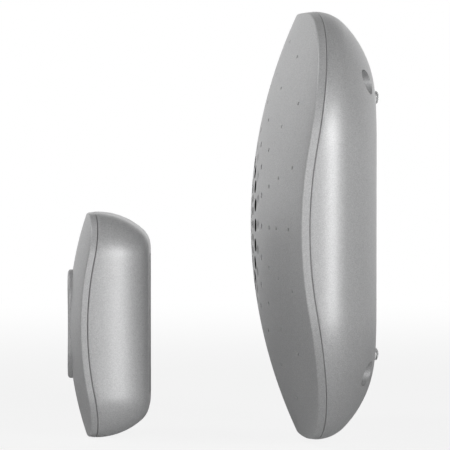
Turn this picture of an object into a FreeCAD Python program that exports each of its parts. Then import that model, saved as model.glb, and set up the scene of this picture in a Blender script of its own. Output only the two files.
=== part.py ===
import FreeCAD, Part
import math
import os
import Sketcher
from FreeCAD import Rotation, Vector

# Wireless doorbell: a wall-hung chime and its push, both with a domed fascia on a rounded housing.
# Millimetres. X is the width, +Z is up, the fronts face -Y and the wall is the plane Y = 0.
# The origin lies midway between the chime's two keyholes, on its back.
# Each piece is drawn about its own unit's middle, with depths counted forward from that unit's back.

DRIVING_SIZES = {
    # Chime: outline, dome and walls
    "chime_width": 140.0,
    "chime_height": 140.0,
    "chime_depth": 40.4,
    "chime_corner": 43.5,
    "chime_dome": 165.0,
    "chime_wall": 2.2,
    "fascia_wall": 2.5,
    "seam_reveal": 0.3,
    "seam_land": 1.1,
    "rear_round_in": 29.0,
    "rear_round_deep": 19.5,
    "rear_round_tight": 13.0,
    "lip_height": 2.4,
    "lip_wall": 1.2,
    "fit_gap": 0.15,
    # Chime: sound holes and the dimples that fade out round them
    "ray_count": 20.0,
    "hole_sides": 8.0,
    "dot_sides": 6.0,
    "centre_ring": 8.2,
    "centre_hole": 1.5,
    "inner_ring": 14.3,
    "inner_hole": 2.8,
    "main_ring": 21.4,
    "main_hole": 4.4,
    "dimple_ring": 27.3,
    "dimple_size": 3.7,
    "dimple_deep": 0.5,
    "near_dot_ring": 32.8,
    "near_dot": 1.9,
    "mid_dot_ring": 42.6,
    "mid_dot": 1.4,
    # Chime: screws that hold the fascia to the housing
    "well_place": 47.0,
    "well_bore": 8.0,
    "well_wall": 1.6,
    "well_deep": 13.2,
    "case_screw_shank": 3.0,
    "case_screw_head": 5.6,
    "case_screw_head_deep": 2.2,
    "case_screw_long": 8.5,
    "boss_wall": 2.2,
    "screw_gap": 0.1,
    # Chime: feet on the back
    "foot_across": 4.2,
    "foot_proud": 1.3,
    "foot_sunk": 0.4,
    "foot_side": 27.0,
    "foot_rise": 42.0,
    # Chime: keyholes, their screws' head and neck
    "keyhole_side": 25.0,
    "keyhole_rise": 27.0,
    "keyhole_entry": 8.4,
    "keyhole_neck": 4.4,
    "keyhole_run": 6.5,
    # Chime: battery bay, cells and cover
    "cell_across": 14.5,
    "cell_long": 50.5,
    "cell_pitch": 15.4,
    "cell_count": 3.0,
    "bay_ends": 4.6,
    "bay_wall": 1.8,
    "bay_middle": -13.0,
    "bay_headroom": 0.4,
    "bay_corner": 1.0,
    "cell_cap_across": 5.4,
    "cell_cap_long": 1.2,
    "cell_edge": 0.8,
    "cover_thick": 1.8,
    "cover_margin": 2.0,
    "cover_corner": 3.0,
    "cover_gap": 0.3,
    "finger_dip": 13.0,
    "peg_wide": 4.0,
    "peg_thick": 1.2,
    "peg_long": 2.6,
    "rib_thick": 1.2,
    "contact_thick": 0.4,
    "contact_wide": 9.0,
    "contact_tall": 10.0,
    # Chime: loudspeaker
    "speaker_across": 57.0,
    "speaker_seat": 34.4,
    "speaker_deep": 13.4,
    "speaker_flange": 1.0,
    "magnet_across": 30.0,
    "magnet_thick": 5.0,
    "pole_across": 9.2,
    "basket_wall": 0.8,
    "cone_wall": 0.4,
    "cloth_thick": 0.4,
    "gasket_thick": 1.2,
    "clamp_thick": 1.0,
    "clamp_post": 6.0,
    # Chime: circuit board and the controls reached from the back
    "board_width": 78.0,
    "board_height": 38.0,
    "board_thick": 1.6,
    "board_rise": 33.0,
    "board_forward": 9.0,
    "post_across": 6.0,
    "post_side": 34.0,
    "post_rise": 14.0,
    "board_corner": 2.0,
    "board_screw": 2.2,
    "board_screw_head": 4.2,
    "board_screw_head_deep": 1.4,
    "control_rise": 17.5,
    "slider_side": 9.0,
    "slider_travel": 2.0,
    "slider_knob_wide": 2.4,
    "slider_knob_tall": 2.6,
    "tune_side": 9.0,
    "tune_across": 5.0,
    "tune_stem": 3.2,
    "tune_travel": 0.5,
    "chip_pitch": 1.27,
    "capacitor_across": 8.0,
    "capacitor_tall": 11.0,
    "coil_core": 2.2,
    "coil_wire": 1.2,
    "coil_turns": 4.0,
    # Push: outline, dome and walls
    "push_width": 47.0,
    "push_height": 74.6,
    "push_depth": 27.3,
    "push_corner": 14.6,
    "push_dome_wide": 57.5,
    "push_dome_tall": 116.0,
    "push_wall": 1.8,
    "push_fascia_wall": 2.1,
    "push_round_in": 11.8,
    "push_round_deep": 18.0,
    "push_round_tight": 8.0,
    "push_ahead": 74.1,
    "push_drop": 33.8,
    # Push: button
    "button_width": 20.4,
    "button_height": 36.4,
    "button_proud": 0.2,
    "button_dish": 0.3,
    "button_edge": 0.9,
    "button_gap": 0.3,
    "button_flange": 1.4,
    "button_flange_thick": 1.2,
    "button_rib": 1.2,
    "button_travel": 0.8,
    "skirt_wall": 1.2,
    "stem_across": 7.0,
    # Push: board, switch, cell and plate
    "push_board_width": 30.0,
    "push_board_height": 52.0,
    "push_board_thick": 1.2,
    "push_board_forward": 14.0,
    "push_post_across": 5.0,
    "switch_size": 6.0,
    "switch_body": 3.4,
    "plunger_across": 3.4,
    "plunger_long": 1.7,
    "coin_across": 20.0,
    "coin_thick": 3.2,
    "clip_wall": 0.8,
    "clip_strap": 5.0,
    "resonator_across": 8.4,
    "resonator_tall": 3.3,
    "plate_width": 22.6,
    "plate_height": 46.4,
    "plate_thick": 1.8,
    "plate_corner": 2.4,
    "plate_ledge": 1.1,
    "plate_hole": 4.2,
    "plate_hole_pitch": 34.0,
}


class Size:
    """A length, with its value and the formula that it follows."""

    def __init__(self, value, formula):
        self.value = value
        self.formula = formula

    def __add__(self, other):
        return Size(self.value + number(other), f"({self.formula} + {formula(other)})")

    def __radd__(self, other):
        return self + other

    def __sub__(self, other):
        return Size(self.value - number(other), f"({self.formula} - {formula(other)})")

    def __rsub__(self, other):
        return Size(number(other) - self.value, f"({formula(other)} - {self.formula})")

    def __mul__(self, other):
        return Size(self.value * number(other), f"({self.formula} * {formula(other)})")

    def __rmul__(self, other):
        return self * other

    def __truediv__(self, other):
        return Size(self.value / number(other), f"({self.formula} / {formula(other)})")

    def __neg__(self):
        return Size(-self.value, f"(0 - {self.formula})")


def number(size):
    return size.value if isinstance(size, Size) else float(size)


def formula(size):
    return size.formula if isinstance(size, Size) else repr(float(size))


def root(size):
    return Size(math.sqrt(number(size)), f"sqrt({formula(size)})")


def bind(thing, path, size):
    """Makes one length of a form follow its formula."""
    thing.setExpression(path, formula(size))


places = {}


def set_place(thing, x, forward, z):
    """Puts a thing at x, a depth in front of its unit's back, and a height."""
    bind(thing, "Placement.Base.x", x)
    bind(thing, "Placement.Base.y", -forward)
    bind(thing, "Placement.Base.z", z)
    places[thing.Name] = (x, forward, z)


doc = FreeCAD.newDocument("wireless_doorbell")
sheet = doc.addObject("Spreadsheet::Sheet", "sizes")
for row, (name, length) in enumerate(DRIVING_SIZES.items(), start=1):
    sheet.set(f"A{row}", name)
    sheet.set(f"B{row}", str(length))
    sheet.setAlias(f"B{row}", name)
doc.recompute()


class Sizes:
    """Gives each driving size by its name."""

    def __getattr__(self, name):
        return Size(float(getattr(sheet, name)), f"{sheet.Name}.{name}")


S = Sizes()


# Outlines, blocks, bars and turned forms


def new_body(name):
    return doc.addObject("PartDesign::Body", name)


def new_sketch(body, plane, x=0, z=0, forward=0):
    """An outline's plane, moved to x and z, and forward towards the front."""
    sketch = body.newObject("Sketcher::SketchObject", "Sketch")
    support = next(item for item in body.Origin.OriginFeatures if item.Role == plane)
    sketch.AttachmentSupport = [(support, "")]
    sketch.MapMode = "FlatFace"
    bind(sketch, "AttachmentOffset.Base.x", x)
    bind(sketch, "AttachmentOffset.Base.y", z)
    bind(sketch, "AttachmentOffset.Base.z", forward)
    return sketch


def rule(sketch, *parts):
    return sketch.addConstraint(Sketcher.Constraint(*parts))


def measure(sketch, kind, *parts):
    """Gives an outline one length or radius, which follows its size."""
    index = rule(sketch, kind, *parts[:-1], number(parts[-1]))
    if isinstance(parts[-1], Size):
        bind(sketch, f"Constraints[{index}]", parts[-1])


def draw_rounded(sketch, width, height, corner):
    """A rounded rectangle about its own middle, which starts halfway up its right side."""
    half_width, half_height, radius = number(width) / 2, number(height) / 2, number(corner)
    flat_x, flat_y = half_width - radius, half_height - radius
    up = Vector(0, 0, 1)

    def line(x1, y1, x2, y2):
        return Part.LineSegment(Vector(x1, y1, 0), Vector(x2, y2, 0))

    def turn(x, y, quarter):
        start = quarter * math.pi / 2
        return Part.ArcOfCircle(Part.Circle(Vector(x, y, 0), up, radius), start, start + math.pi / 2)

    sketch.addGeometry([
        line(half_width, 0, half_width, flat_y),
        turn(flat_x, flat_y, 0),
        line(flat_x, half_height, -flat_x, half_height),
        turn(-flat_x, flat_y, 1),
        line(-half_width, flat_y, -half_width, -flat_y),
        turn(-flat_x, -flat_y, 2),
        line(-flat_x, -half_height, flat_x, -half_height),
        turn(flat_x, -flat_y, 3),
        line(half_width, -flat_y, half_width, 0),
    ], False)
    for item in range(8):
        rule(sketch, "Tangent", item, 2, item + 1, 1)
    rule(sketch, "Coincident", 8, 2, 0, 1)
    for item in (0, 4, 8):
        rule(sketch, "Vertical", item)
    for item in (2, 6):
        rule(sketch, "Horizontal", item)
    for item in (3, 5, 7):
        rule(sketch, "Equal", 1, item)
    rule(sketch, "PointOnObject", 0, 1, -1)
    measure(sketch, "Radius", 1, corner)
    measure(sketch, "DistanceX", -1, 1, 0, 1, width / 2)
    measure(sketch, "DistanceX", 4, 1, 0, 1, width)
    measure(sketch, "DistanceY", -1, 1, 2, 1, height / 2)
    measure(sketch, "DistanceY", 6, 1, 2, 2, height)


def draw_outline(sketch, corners):
    """A closed outline; each corner is (x, y) or (x, y, radius), where the radius bends the next side.

    A bend above zero bulges to the right of the way drawn, and one below zero to the left.
    """
    count = len(corners)
    ends = []
    for item, corner in enumerate(corners):
        following = corners[(item + 1) % count]
        start = Vector(number(corner[0]), number(corner[1]), 0)
        end = Vector(number(following[0]), number(following[1]), 0)
        if len(corner) == 2:
            sketch.addGeometry(Part.LineSegment(start, end), False)
            ends.append((1, 2))
            continue
        bend = number(corner[2])
        first, last = (start, end) if bend > 0 else (end, start)
        chord = last - first
        inward = Vector(-chord.y, chord.x, 0).normalize()
        middle = (first + last) / 2 + inward * math.sqrt(bend ** 2 - (chord.Length / 2) ** 2)
        angles = [math.atan2(point.y - middle.y, point.x - middle.x) for point in (first, last)]
        if angles[1] < angles[0]:
            angles[1] += 2 * math.pi
        sketch.addGeometry(
            Part.ArcOfCircle(Part.Circle(middle, Vector(0, 0, 1), abs(bend)), *angles), False)
        ends.append((1, 2) if bend > 0 else (2, 1))
    for item, corner in enumerate(corners):
        rule(sketch, "Coincident", item, ends[item][1], (item + 1) % count, ends[(item + 1) % count][0])
        measure(sketch, "DistanceX", -1, 1, item, ends[item][0], corner[0])
        measure(sketch, "DistanceY", -1, 1, item, ends[item][0], corner[1])
        if len(corner) == 3:
            measure(sketch, "Radius", item, corner[2] if number(corner[2]) > 0 else -corner[2])


def add_pad(body, sketch, length):
    pad = body.newObject("PartDesign::Pad", "Pad")
    pad.Profile = sketch
    bind(pad, "Length", length)
    body.Tip = pad
    return pad


def add_turn(body, sketch, axis="V_Axis"):
    """Turns an outline once round its own upright axis, or the one that is named."""
    turn = body.newObject("PartDesign::Revolution", "Revolution")
    turn.Profile = sketch
    turn.ReferenceAxis = (sketch, [axis])
    turn.Angle = 360
    body.Tip = turn
    return body


def prism(name, width, height, corner, near, far, x=0, z=0):
    """A rounded rectangular block from one depth to another."""
    body = new_body(name)
    sketch = new_sketch(body, "XZ_Plane", x, z, near)
    draw_rounded(sketch, width, height, corner)
    add_pad(body, sketch, far - near)
    return body


def turned(name, corners, x=0, z=0):
    """A piece turned about its depth axis; each corner is (radius, forward), with a bend if it has one."""
    body = new_body(name)
    sketch = new_sketch(body, "XY_Plane", x, 0, z)
    draw_outline(sketch, [(corner[0], -corner[1], *corner[2:]) for corner in corners])
    return add_turn(body, sketch)


def rod(name, across, near, far, x=0, z=0):
    """A plain cylinder along the depth."""
    piece = doc.addObject("Part::Cylinder", name)
    piece.Placement.Rotation = Rotation(Vector(1, 0, 0), 90)
    bind(piece, "Radius", across / 2)
    bind(piece, "Height", far - near)
    set_place(piece, x, near, z)
    return piece


def sided_rod(name, across, near, far, x=0, z=0):
    """A bar along the depth with sixteen flats, across which it measures a little under its width."""
    piece = doc.addObject("Part::Prism", name)
    piece.Polygon = 16
    piece.Placement.Rotation = Rotation(Vector(1, 0, 0), 90)
    bind(piece, "Circumradius", across / 2)
    bind(piece, "Height", far - near)
    set_place(piece, x, near, z)
    return piece


def block(name, width, height, near, far, x=0, z=0):
    """A plain box about (x, z) from one depth to another."""
    piece = doc.addObject("Part::Box", name)
    bind(piece, "Length", width)
    bind(piece, "Width", far - near)
    bind(piece, "Height", height)
    set_place(piece, x - width / 2, far, z - height / 2)
    return piece


def fuse(name, pieces):
    if len(pieces) == 1:
        return pieces[0]
    joined = doc.addObject("Part::MultiFuse", name)
    joined.Shapes = pieces
    return joined


def cut(name, base, tools):
    result = doc.addObject("Part::Cut", name)
    result.Base = base
    result.Tool = fuse(name + "_tools", tools)
    return result


def common(name, first, second):
    result = doc.addObject("Part::Common", name)
    result.Base = first
    result.Tool = second
    return result


def group(name, pieces):
    """Like pieces that share one node as separate solids."""
    gathered = doc.addObject("Part::Compound", name)
    gathered.Links = pieces
    return gathered


def finish(piece, label, unit):
    """Names a finished piece and moves it from its unit's middle to its place in the set."""
    x, forward, z = places.get(piece.Name, (0, 0, 0))
    ahead, rise = UNIT_PLACES[unit]
    piece.Label = label
    set_place(piece, x, forward + ahead, z + rise)
    finished.append(piece)
    return piece


finished = []
UNIT_PLACES = {
    "chime": (0, -S.keyhole_rise),
    "push": (S.push_ahead, -S.keyhole_rise - S.push_drop),
}


# Forms that the chime and the push share


def barrel(name, apex, bend_wide, bend_tall, reach):
    """A solid whose front is the domed face: an arc across it, turned about a level axis behind it."""
    body = new_body(name)
    sketch = new_sketch(body, "XY_Plane")
    edge = bend_tall - bend_wide + root(bend_wide * bend_wide - reach * reach)
    draw_outline(sketch, [
        (-1 * reach, 0),
        (-1 * reach, edge, -bend_wide),
        (reach, edge),
        (reach, 0),
    ])
    add_turn(body, sketch, "H_Axis")
    set_place(body, 0, apex - bend_tall, 0)
    return body


def draw_round_profile(sketch, side, inset, deep, tight, front, tight_at_back):
    """Half a section of a housing: a straight side that turns to the flat back by two tangent arcs."""
    across, down, small = number(inset), number(deep), number(tight)
    edge, top = number(side), number(front)
    if tight_at_back:
        wide = ((down - small) ** 2 + across ** 2 - small ** 2) / (2 * (across - small))
        first, second = wide, small
    else:
        wide = ((across - small) ** 2 + down ** 2 - small ** 2) / (2 * (down - small))
        first, second = small, wide
    first_middle = Vector(edge - first, -down, 0)
    second_middle = Vector(edge - across, -second, 0)
    apart = (first_middle - second_middle).normalize() * (1 if second > first else -1)
    meeting = first_middle + apart * first if second > first else second_middle + apart * second

    def bend(start, end, middle, radius):
        halfway = ((start - middle) + (end - middle)).normalize() * radius + middle
        return Part.Arc(start, halfway, end)

    side_top, side_end = Vector(edge, -top, 0), Vector(edge, -down, 0)
    back, inner_top = Vector(edge - across, 0, 0), Vector(edge - across, -top, 0)
    sketch.addGeometry([
        Part.LineSegment(inner_top, side_top),
        Part.LineSegment(side_top, side_end),
        bend(side_end, meeting, first_middle, first),
        bend(meeting, back, second_middle, second),
        Part.LineSegment(back, inner_top),
    ], False)
    rule(sketch, "Coincident", 0, 2, 1, 1)
    rule(sketch, "Tangent", 1, 2, 2, 1)
    rule(sketch, "Tangent", 2, 2, 3, 1)
    rule(sketch, "Coincident", 3, 2, 4, 1)
    rule(sketch, "Coincident", 4, 2, 0, 1)
    rule(sketch, "Horizontal", 0)
    rule(sketch, "Vertical", 1)
    rule(sketch, "Vertical", 4)
    rule(sketch, "Vertical", 3, 3, 3, 2)
    rule(sketch, "PointOnObject", 3, 2, -1)
    measure(sketch, "DistanceX", -1, 1, 1, 1, side)
    measure(sketch, "DistanceX", -1, 1, 4, 1, side - inset)
    measure(sketch, "DistanceY", -1, 1, 1, 2, -deep)
    measure(sketch, "DistanceY", -1, 1, 0, 1, -front)
    measure(sketch, "Radius", 3 if tight_at_back else 2, tight)


def rounded_block(name, width, height, corner, inset, deep, tight, front, tight_at_back, back):
    """A block with the housing's outline, whose back is rounded by sweeping its side round the outline."""
    body = new_body(name)
    middle = new_sketch(body, "XZ_Plane")
    draw_rounded(middle, width - 2 * inset, height - 2 * inset, corner - inset)
    add_pad(body, middle, front)
    path = new_sketch(body, "XZ_Plane")
    draw_rounded(path, width, height, corner)
    profile = new_sketch(body, "XY_Plane")
    draw_round_profile(profile, width / 2, inset, deep, tight, front, tight_at_back)
    sweep = body.newObject("PartDesign::AdditivePipe", "AdditivePipe")
    sweep.Profile = profile
    sweep.Spine = (path, [])
    body.Tip = sweep
    set_place(body, 0, back, 0)
    return body


def ring_block(name, width, height, corner, inset, wall, near, far):
    """A rounded frame, set in from an outline by inset and as thick as wall."""
    outer = prism(name + "_outer", width - 2 * inset, height - 2 * inset, corner - inset, near, far)
    away = inset + wall
    inner = prism(name + "_inner", width - 2 * away, height - 2 * away, corner - away, near, far)
    return cut(name, outer, [inner])


def wall_lip(name, outline, inset, near, far, dome, skin, end, clip):
    """The thin lip behind a fascia's rim, which follows the dome and stays inside the housing's wall."""
    ring = ring_block(name + "_ring", *outline, inset, S.lip_wall, near, far)
    zone = cut(name + "_zone", dome(name + "_top", skin), [dome(name + "_end", end)])
    return common(name, common(name + "_straight", ring, zone), clip)


def screw(name, shank, head, head_deep, seat, reach, x, z, forward=True):
    """A pan-head screw: its head sits on seat, and its shank runs to reach."""
    back = seat - head_deep if forward else seat + head_deep
    return turned(name, [
        (0, back),
        (head / 2 - head_deep / 4, back),
        (head / 2, seat),
        (shank / 2, seat),
        (shank / 2, reach),
        (0, reach),
    ], x, z)


def corners_of(side, rise):
    return [(side, rise), (-side, rise), (-side, -rise), (side, -rise)]


# Chime: housing, with a rounded back, screw wells, keyholes and the battery bay


block_near = 4.0
block_far = S.chime_depth + 4
dome_reach = S.chime_width / 2 + 14
reveal_spare = 3.0


def chime_dome(name, back_from_face):
    return barrel(name, S.chime_depth - back_from_face, S.chime_dome, S.chime_dome, dome_reach)


def chime_shell(name, shrink, back):
    return rounded_block(
        name,
        S.chime_width - 2 * shrink,
        S.chime_height - 2 * shrink,
        S.chime_corner - shrink,
        S.rear_round_in - shrink,
        S.rear_round_deep - shrink,
        S.rear_round_tight - shrink,
        block_far,
        False,
        back,
    )


well_places = corners_of(S.well_place, S.well_place)
well_floor = S.well_deep + S.well_wall
bay_wide = S.cell_long + S.bay_ends
bay_tall = S.cell_pitch * S.cell_count
bay_floor = S.cover_thick + 2 * S.bay_headroom + S.cell_across
bay_back = bay_floor + S.bay_wall
seam_depth = S.fascia_wall + S.seam_reveal
post_places = [(x, S.board_rise + z) for x, z in corners_of(S.post_side, S.post_rise)]
foot_places = corners_of(S.foot_side, S.foot_rise)
slider_window = 2 * S.slider_travel + S.slider_knob_wide + 4 * S.cover_gap

shell_outside = chime_shell("chime_shell_outside", 0, 0)
shell_inside = chime_shell("chime_shell_inside", S.chime_wall, S.chime_wall)
shell_walls = cut("chime_shell_walls", shell_outside, [shell_inside])
shell_to_fascia = common(
    "chime_shell_to_fascia", shell_walls, chime_dome("chime_land_dome", S.fascia_wall + S.fit_gap))
reveal_ring = ring_block(
    "chime_reveal_ring", S.chime_width, S.chime_height, S.chime_corner, -reveal_spare,
    S.seam_land + reveal_spare, block_near, block_far)
chime_reveal = cut("chime_reveal", reveal_ring, [chime_dome("chime_seam_dome", seam_depth)])
shell_cut = cut("chime_shell_cut", shell_to_fascia, [chime_reveal])
wall_middle = S.chime_wall / 2
inner_rods = [
    sided_rod("well_tube", S.well_bore + 2 * S.well_wall, 0, well_floor, x, z) for x, z in well_places
]
inner_rods += [rod("board_post", S.post_across, 0, S.board_forward, x, z) for x, z in post_places]
rooted_rods = common(
    "rooted_rods", fuse("inner_rod_set", inner_rods), chime_shell("rod_roots", wall_middle, wall_middle))
bay_box = prism(
    "bay_box", bay_wide + 2 * S.bay_wall, bay_tall + 2 * S.bay_wall, S.cover_corner,
    wall_middle, bay_back, 0, S.bay_middle)
housing_solid = fuse("chime_housing_solid", [shell_cut, rooted_rods, bay_box])

cover_wide = bay_wide + 2 * S.cover_margin
cover_tall = bay_tall + 2 * S.cover_margin
housing_cuts = [
    prism("bay_hollow", bay_wide, bay_tall, S.bay_corner, -1, bay_floor, 0, S.bay_middle),
    prism(
        "cover_seat", cover_wide + 2 * S.cover_gap, cover_tall + 2 * S.cover_gap,
        S.cover_corner + S.cover_gap, -1, S.cover_thick, 0, S.bay_middle),
    block("slider_window", slider_window, S.slider_knob_tall + 4 * S.cover_gap, -1, S.chime_wall + 1,
          -S.slider_side, S.control_rise),
    rod("tune_hole", S.tune_across + 2 * S.cover_gap, -1, S.chime_wall + 1, S.tune_side, S.control_rise),
]
for x, z in well_places:
    housing_cuts.append(sided_rod("well", S.well_bore, -1, S.well_deep, x, z))
    housing_cuts.append(rod("well_hole", S.case_screw_shank + 4 * S.screw_gap, -1, well_floor + 1, x, z))
for x, z in foot_places:
    housing_cuts.append(rod("foot_seat", S.foot_across + 2 * S.screw_gap, -1, S.foot_sunk, x, z))
for x, z in post_places:
    housing_cuts.append(
        rod("post_bore", S.board_screw + 2 * S.screw_gap, S.board_forward / 2, S.board_forward + 1, x, z))
for x in (-S.keyhole_side, S.keyhole_side):
    housing_cuts.append(rod("keyhole_entry", S.keyhole_entry, -1, S.chime_wall + 1, x, S.keyhole_rise))
    housing_cuts.append(block(
        "keyhole_slot", S.keyhole_neck, S.keyhole_run, -1, S.chime_wall + 1,
        x, S.keyhole_rise + S.keyhole_run / 2))
    housing_cuts.append(rod(
        "keyhole_top", S.keyhole_neck, -1, S.chime_wall + 1, x, S.keyhole_rise + S.keyhole_run))
housing = cut("chime_housing_cut", housing_solid, housing_cuts)
finish(housing, "chime_housing", "chime")


# Chime: domed fascia, with the sound holes on rays that fade into dimples


outline_block = prism(
    "chime_outline", S.chime_width, S.chime_height, S.chime_corner, block_near, block_far)
fascia_front = common("fascia_front", outline_block, chime_dome("fascia_face", 0))
fascia_plate = cut("fascia_plate", fascia_front, [chime_dome("fascia_rear", S.fascia_wall)])

under_skin = S.fascia_wall / 2
lip_inset = S.chime_wall + S.fit_gap
fascia_lip = wall_lip(
    "fascia_lip", (S.chime_width, S.chime_height, S.chime_corner), lip_inset, block_near, block_far,
    chime_dome, under_skin, S.fascia_wall + S.lip_height, chime_shell("lip_clip", lip_inset, lip_inset))

speaker_rim = S.speaker_across / 2
seat_inner = speaker_rim - 3.4
seat_outer = speaker_rim + 1.6
clamp_ring = speaker_rim + 5.4
flange_front = S.speaker_seat - S.cloth_thick - S.gasket_thick
flange_back = flange_front - S.speaker_flange
clamp_angles = (90, 210, 330)
clamp_places = [
    (clamp_ring * math.cos(math.radians(angle)), clamp_ring * math.sin(math.radians(angle)))
    for angle in clamp_angles
]
seat_ring = turned("seat_ring", [
    (seat_inner, S.speaker_seat),
    (seat_outer, S.speaker_seat),
    (seat_outer, block_far),
    (seat_inner, block_far),
])
boss_across = S.case_screw_shank + 2 * S.boss_wall
back_forms = [seat_ring]
for x, z in well_places:
    back_forms.append(rod("fascia_boss", boss_across, well_floor, block_far, x, z))
for x, z in clamp_places:
    back_forms.append(rod("clamp_post", S.clamp_post, flange_back, block_far, x, z))
clipped_forms = common(
    "fascia_back_forms", fuse("back_form_set", back_forms), chime_dome("back_form_top", under_skin))
fascia_solid = fuse("fascia_solid", [fascia_plate, fascia_lip, clipped_forms])


def ring_of_holes(name, radius, across, near, far, side_count):
    """One ring of the pattern: a many-sided hole on each ray."""
    body = new_body(name)
    sketch = new_sketch(body, "XZ_Plane", 0, 0, near)
    sides = round(side_count.value)
    angles = [2 * math.pi * (side + 0.5) / sides for side in range(sides)]
    draw_outline(sketch, [
        (radius + across / 2 * math.cos(angle), across / 2 * math.sin(angle)) for angle in angles
    ])
    pad = add_pad(body, sketch, far - near)
    pattern = body.newObject("PartDesign::PolarPattern", "PolarPattern")
    pattern.Originals = [pad]
    pattern.Axis = (sketch, ["N_Axis"])
    pattern.Angle = 360
    bind(pattern, "Occurrences", S.ray_count)
    body.Tip = pattern
    return body


holes_near = S.speaker_seat - S.cloth_thick - 1
through_rings = [
    ring_of_holes("centre_holes", S.centre_ring, S.centre_hole, holes_near, block_far, S.dot_sides),
    ring_of_holes("inner_holes", S.inner_ring, S.inner_hole, holes_near, block_far, S.hole_sides),
    ring_of_holes("main_holes", S.main_ring, S.main_hole, holes_near, block_far, S.hole_sides),
]
dimple_near = block_near + 4
dimple_rings = [
    ring_of_holes("dimples", S.dimple_ring, S.dimple_size, dimple_near, block_far, S.hole_sides),
    ring_of_holes("near_dots", S.near_dot_ring, S.near_dot, dimple_near, block_far, S.dot_sides),
    ring_of_holes("mid_dots", S.mid_dot_ring, S.mid_dot, dimple_near, block_far, S.dot_sides),
]
dimple_cut = cut("dimple_cut", fuse("dimple_set", dimple_rings), [chime_dome("dimple_floor", S.dimple_deep)])
screw_bores = [
    rod("boss_bore", S.case_screw_shank + 2 * S.screw_gap, well_floor - 1,
        S.well_deep + S.case_screw_long + S.seam_reveal, x, z)
    for x, z in well_places
]
clamp_bores = [
    rod("clamp_bore", S.board_screw + 2 * S.screw_gap, flange_back - 1, flange_back + 3.4, x, z)
    for x, z in clamp_places
]
fascia = cut("fascia_cut", fascia_solid, through_rings + [dimple_cut] + screw_bores + clamp_bores)
finish(fascia, "chime_fascia", "chime")


# Chime: battery cover, held by its pegs, and the feet


cover_plate = prism(
    "cover_plate", cover_wide, cover_tall, S.cover_corner, 0, S.cover_thick, 0, S.bay_middle)
finger_dip = rod(
    "finger_dip", S.finger_dip, -1, S.cover_thick / 2, 0, S.bay_middle + cover_tall / 2 + 1)
rib_end = S.cover_thick + S.bay_headroom - S.screw_gap
cover_ribs = [
    block("cover_rib", S.rib_thick, bay_tall - 2 * S.bay_corner, S.cover_thick, rib_end,
          side * S.cell_long / 4, S.bay_middle)
    for side in (-1, 1)
]
cover_pegs = [
    block("cover_peg", S.peg_wide, S.peg_thick, S.cover_thick / 2, S.cover_thick + S.peg_long, x,
          S.bay_middle + end * (bay_tall / 2 - S.fit_gap - S.peg_thick / 2))
    for x in (-S.cell_long / 3, S.cell_long / 3)
    for end in (-1, 1)
]
cover_solid = fuse("battery_cover_solid", [cover_plate] + cover_ribs + cover_pegs)
cover = cut("battery_cover_cut", cover_solid, [finger_dip])
finish(cover, "chime_battery_cover", "chime")

foot_dome = S.foot_proud * 2 / 3
foot_bend = (S.foot_across * S.foot_across / 4 + foot_dome * foot_dome) / (2 * foot_dome)
feet = [
    turned("foot", [
        (0, -S.foot_proud, -foot_bend),
        (S.foot_across / 2, foot_dome - S.foot_proud),
        (S.foot_across / 2, S.foot_sunk),
        (0, S.foot_sunk),
    ], x, z)
    for x, z in foot_places
]
finish(group("foot_set", feet), "rubber_feet", "chime")

case_screws = [
    screw("case_screw", S.case_screw_shank, S.case_screw_head, S.case_screw_head_deep,
          S.well_deep, S.well_deep + S.case_screw_long, x, z)
    for x, z in well_places
]
finish(group("case_screw_set", case_screws), "chime_case_screws", "chime")


# Chime: cells and their contacts


cell_middle = S.cover_thick + S.bay_headroom + S.cell_across / 2


def cell(z, turn):
    """One cell lying across the bay, its raised cap towards turn."""
    body = new_body("cell")
    sketch = new_sketch(body, "XY_Plane", 0, -cell_middle, z)
    radius, half = S.cell_across / 2, S.cell_long / 2
    tip, neck = turn * half, turn * (half - S.cell_cap_long)
    draw_outline(sketch, [
        (-1 * tip, 0),
        (-1 * tip, radius),
        (neck - turn * S.cell_edge, radius),
        (neck, radius - S.cell_edge),
        (neck, S.cell_cap_across / 2),
        (tip, S.cell_cap_across / 2),
        (tip, 0),
    ])
    return add_turn(body, sketch, "H_Axis")


cell_rises = [
    S.bay_middle + S.cell_pitch * (item - (S.cell_count - 1) / 2)
    for item in range(round(S.cell_count.value))
]
cells = [cell(z, 1 if item % 2 == 0 else -1) for item, z in enumerate(cell_rises)]
finish(group("cell_set", cells), "aa_cells", "chime")

contacts = []
for item, z in enumerate(cell_rises):
    for side in (-1, 1):
        wall = side * (bay_wide / 2 - S.contact_thick / 2)
        strip = block("contact_strip", S.contact_thick, S.contact_tall, cell_middle - S.contact_wide / 2,
                      cell_middle + S.contact_wide / 2, wall, z)
        contacts.append(strip)
finish(group("contact_set", contacts), "battery_contacts", "chime")


# Chime: loudspeaker behind the sound holes


magnet_back = flange_front - S.speaker_deep
magnet_front = magnet_back + S.magnet_thick
magnet_radius = S.magnet_across / 2
pole_radius = S.pole_across / 2
cone_inner = pole_radius + 0.6
cone_back = magnet_front + 2.0
roll_inner = speaker_rim - 6.1
roll_rise = 0.5
roll_edge = speaker_rim - 2.1
roll_wall = 0.3
gasket_inner = roll_edge + 0.2

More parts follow.
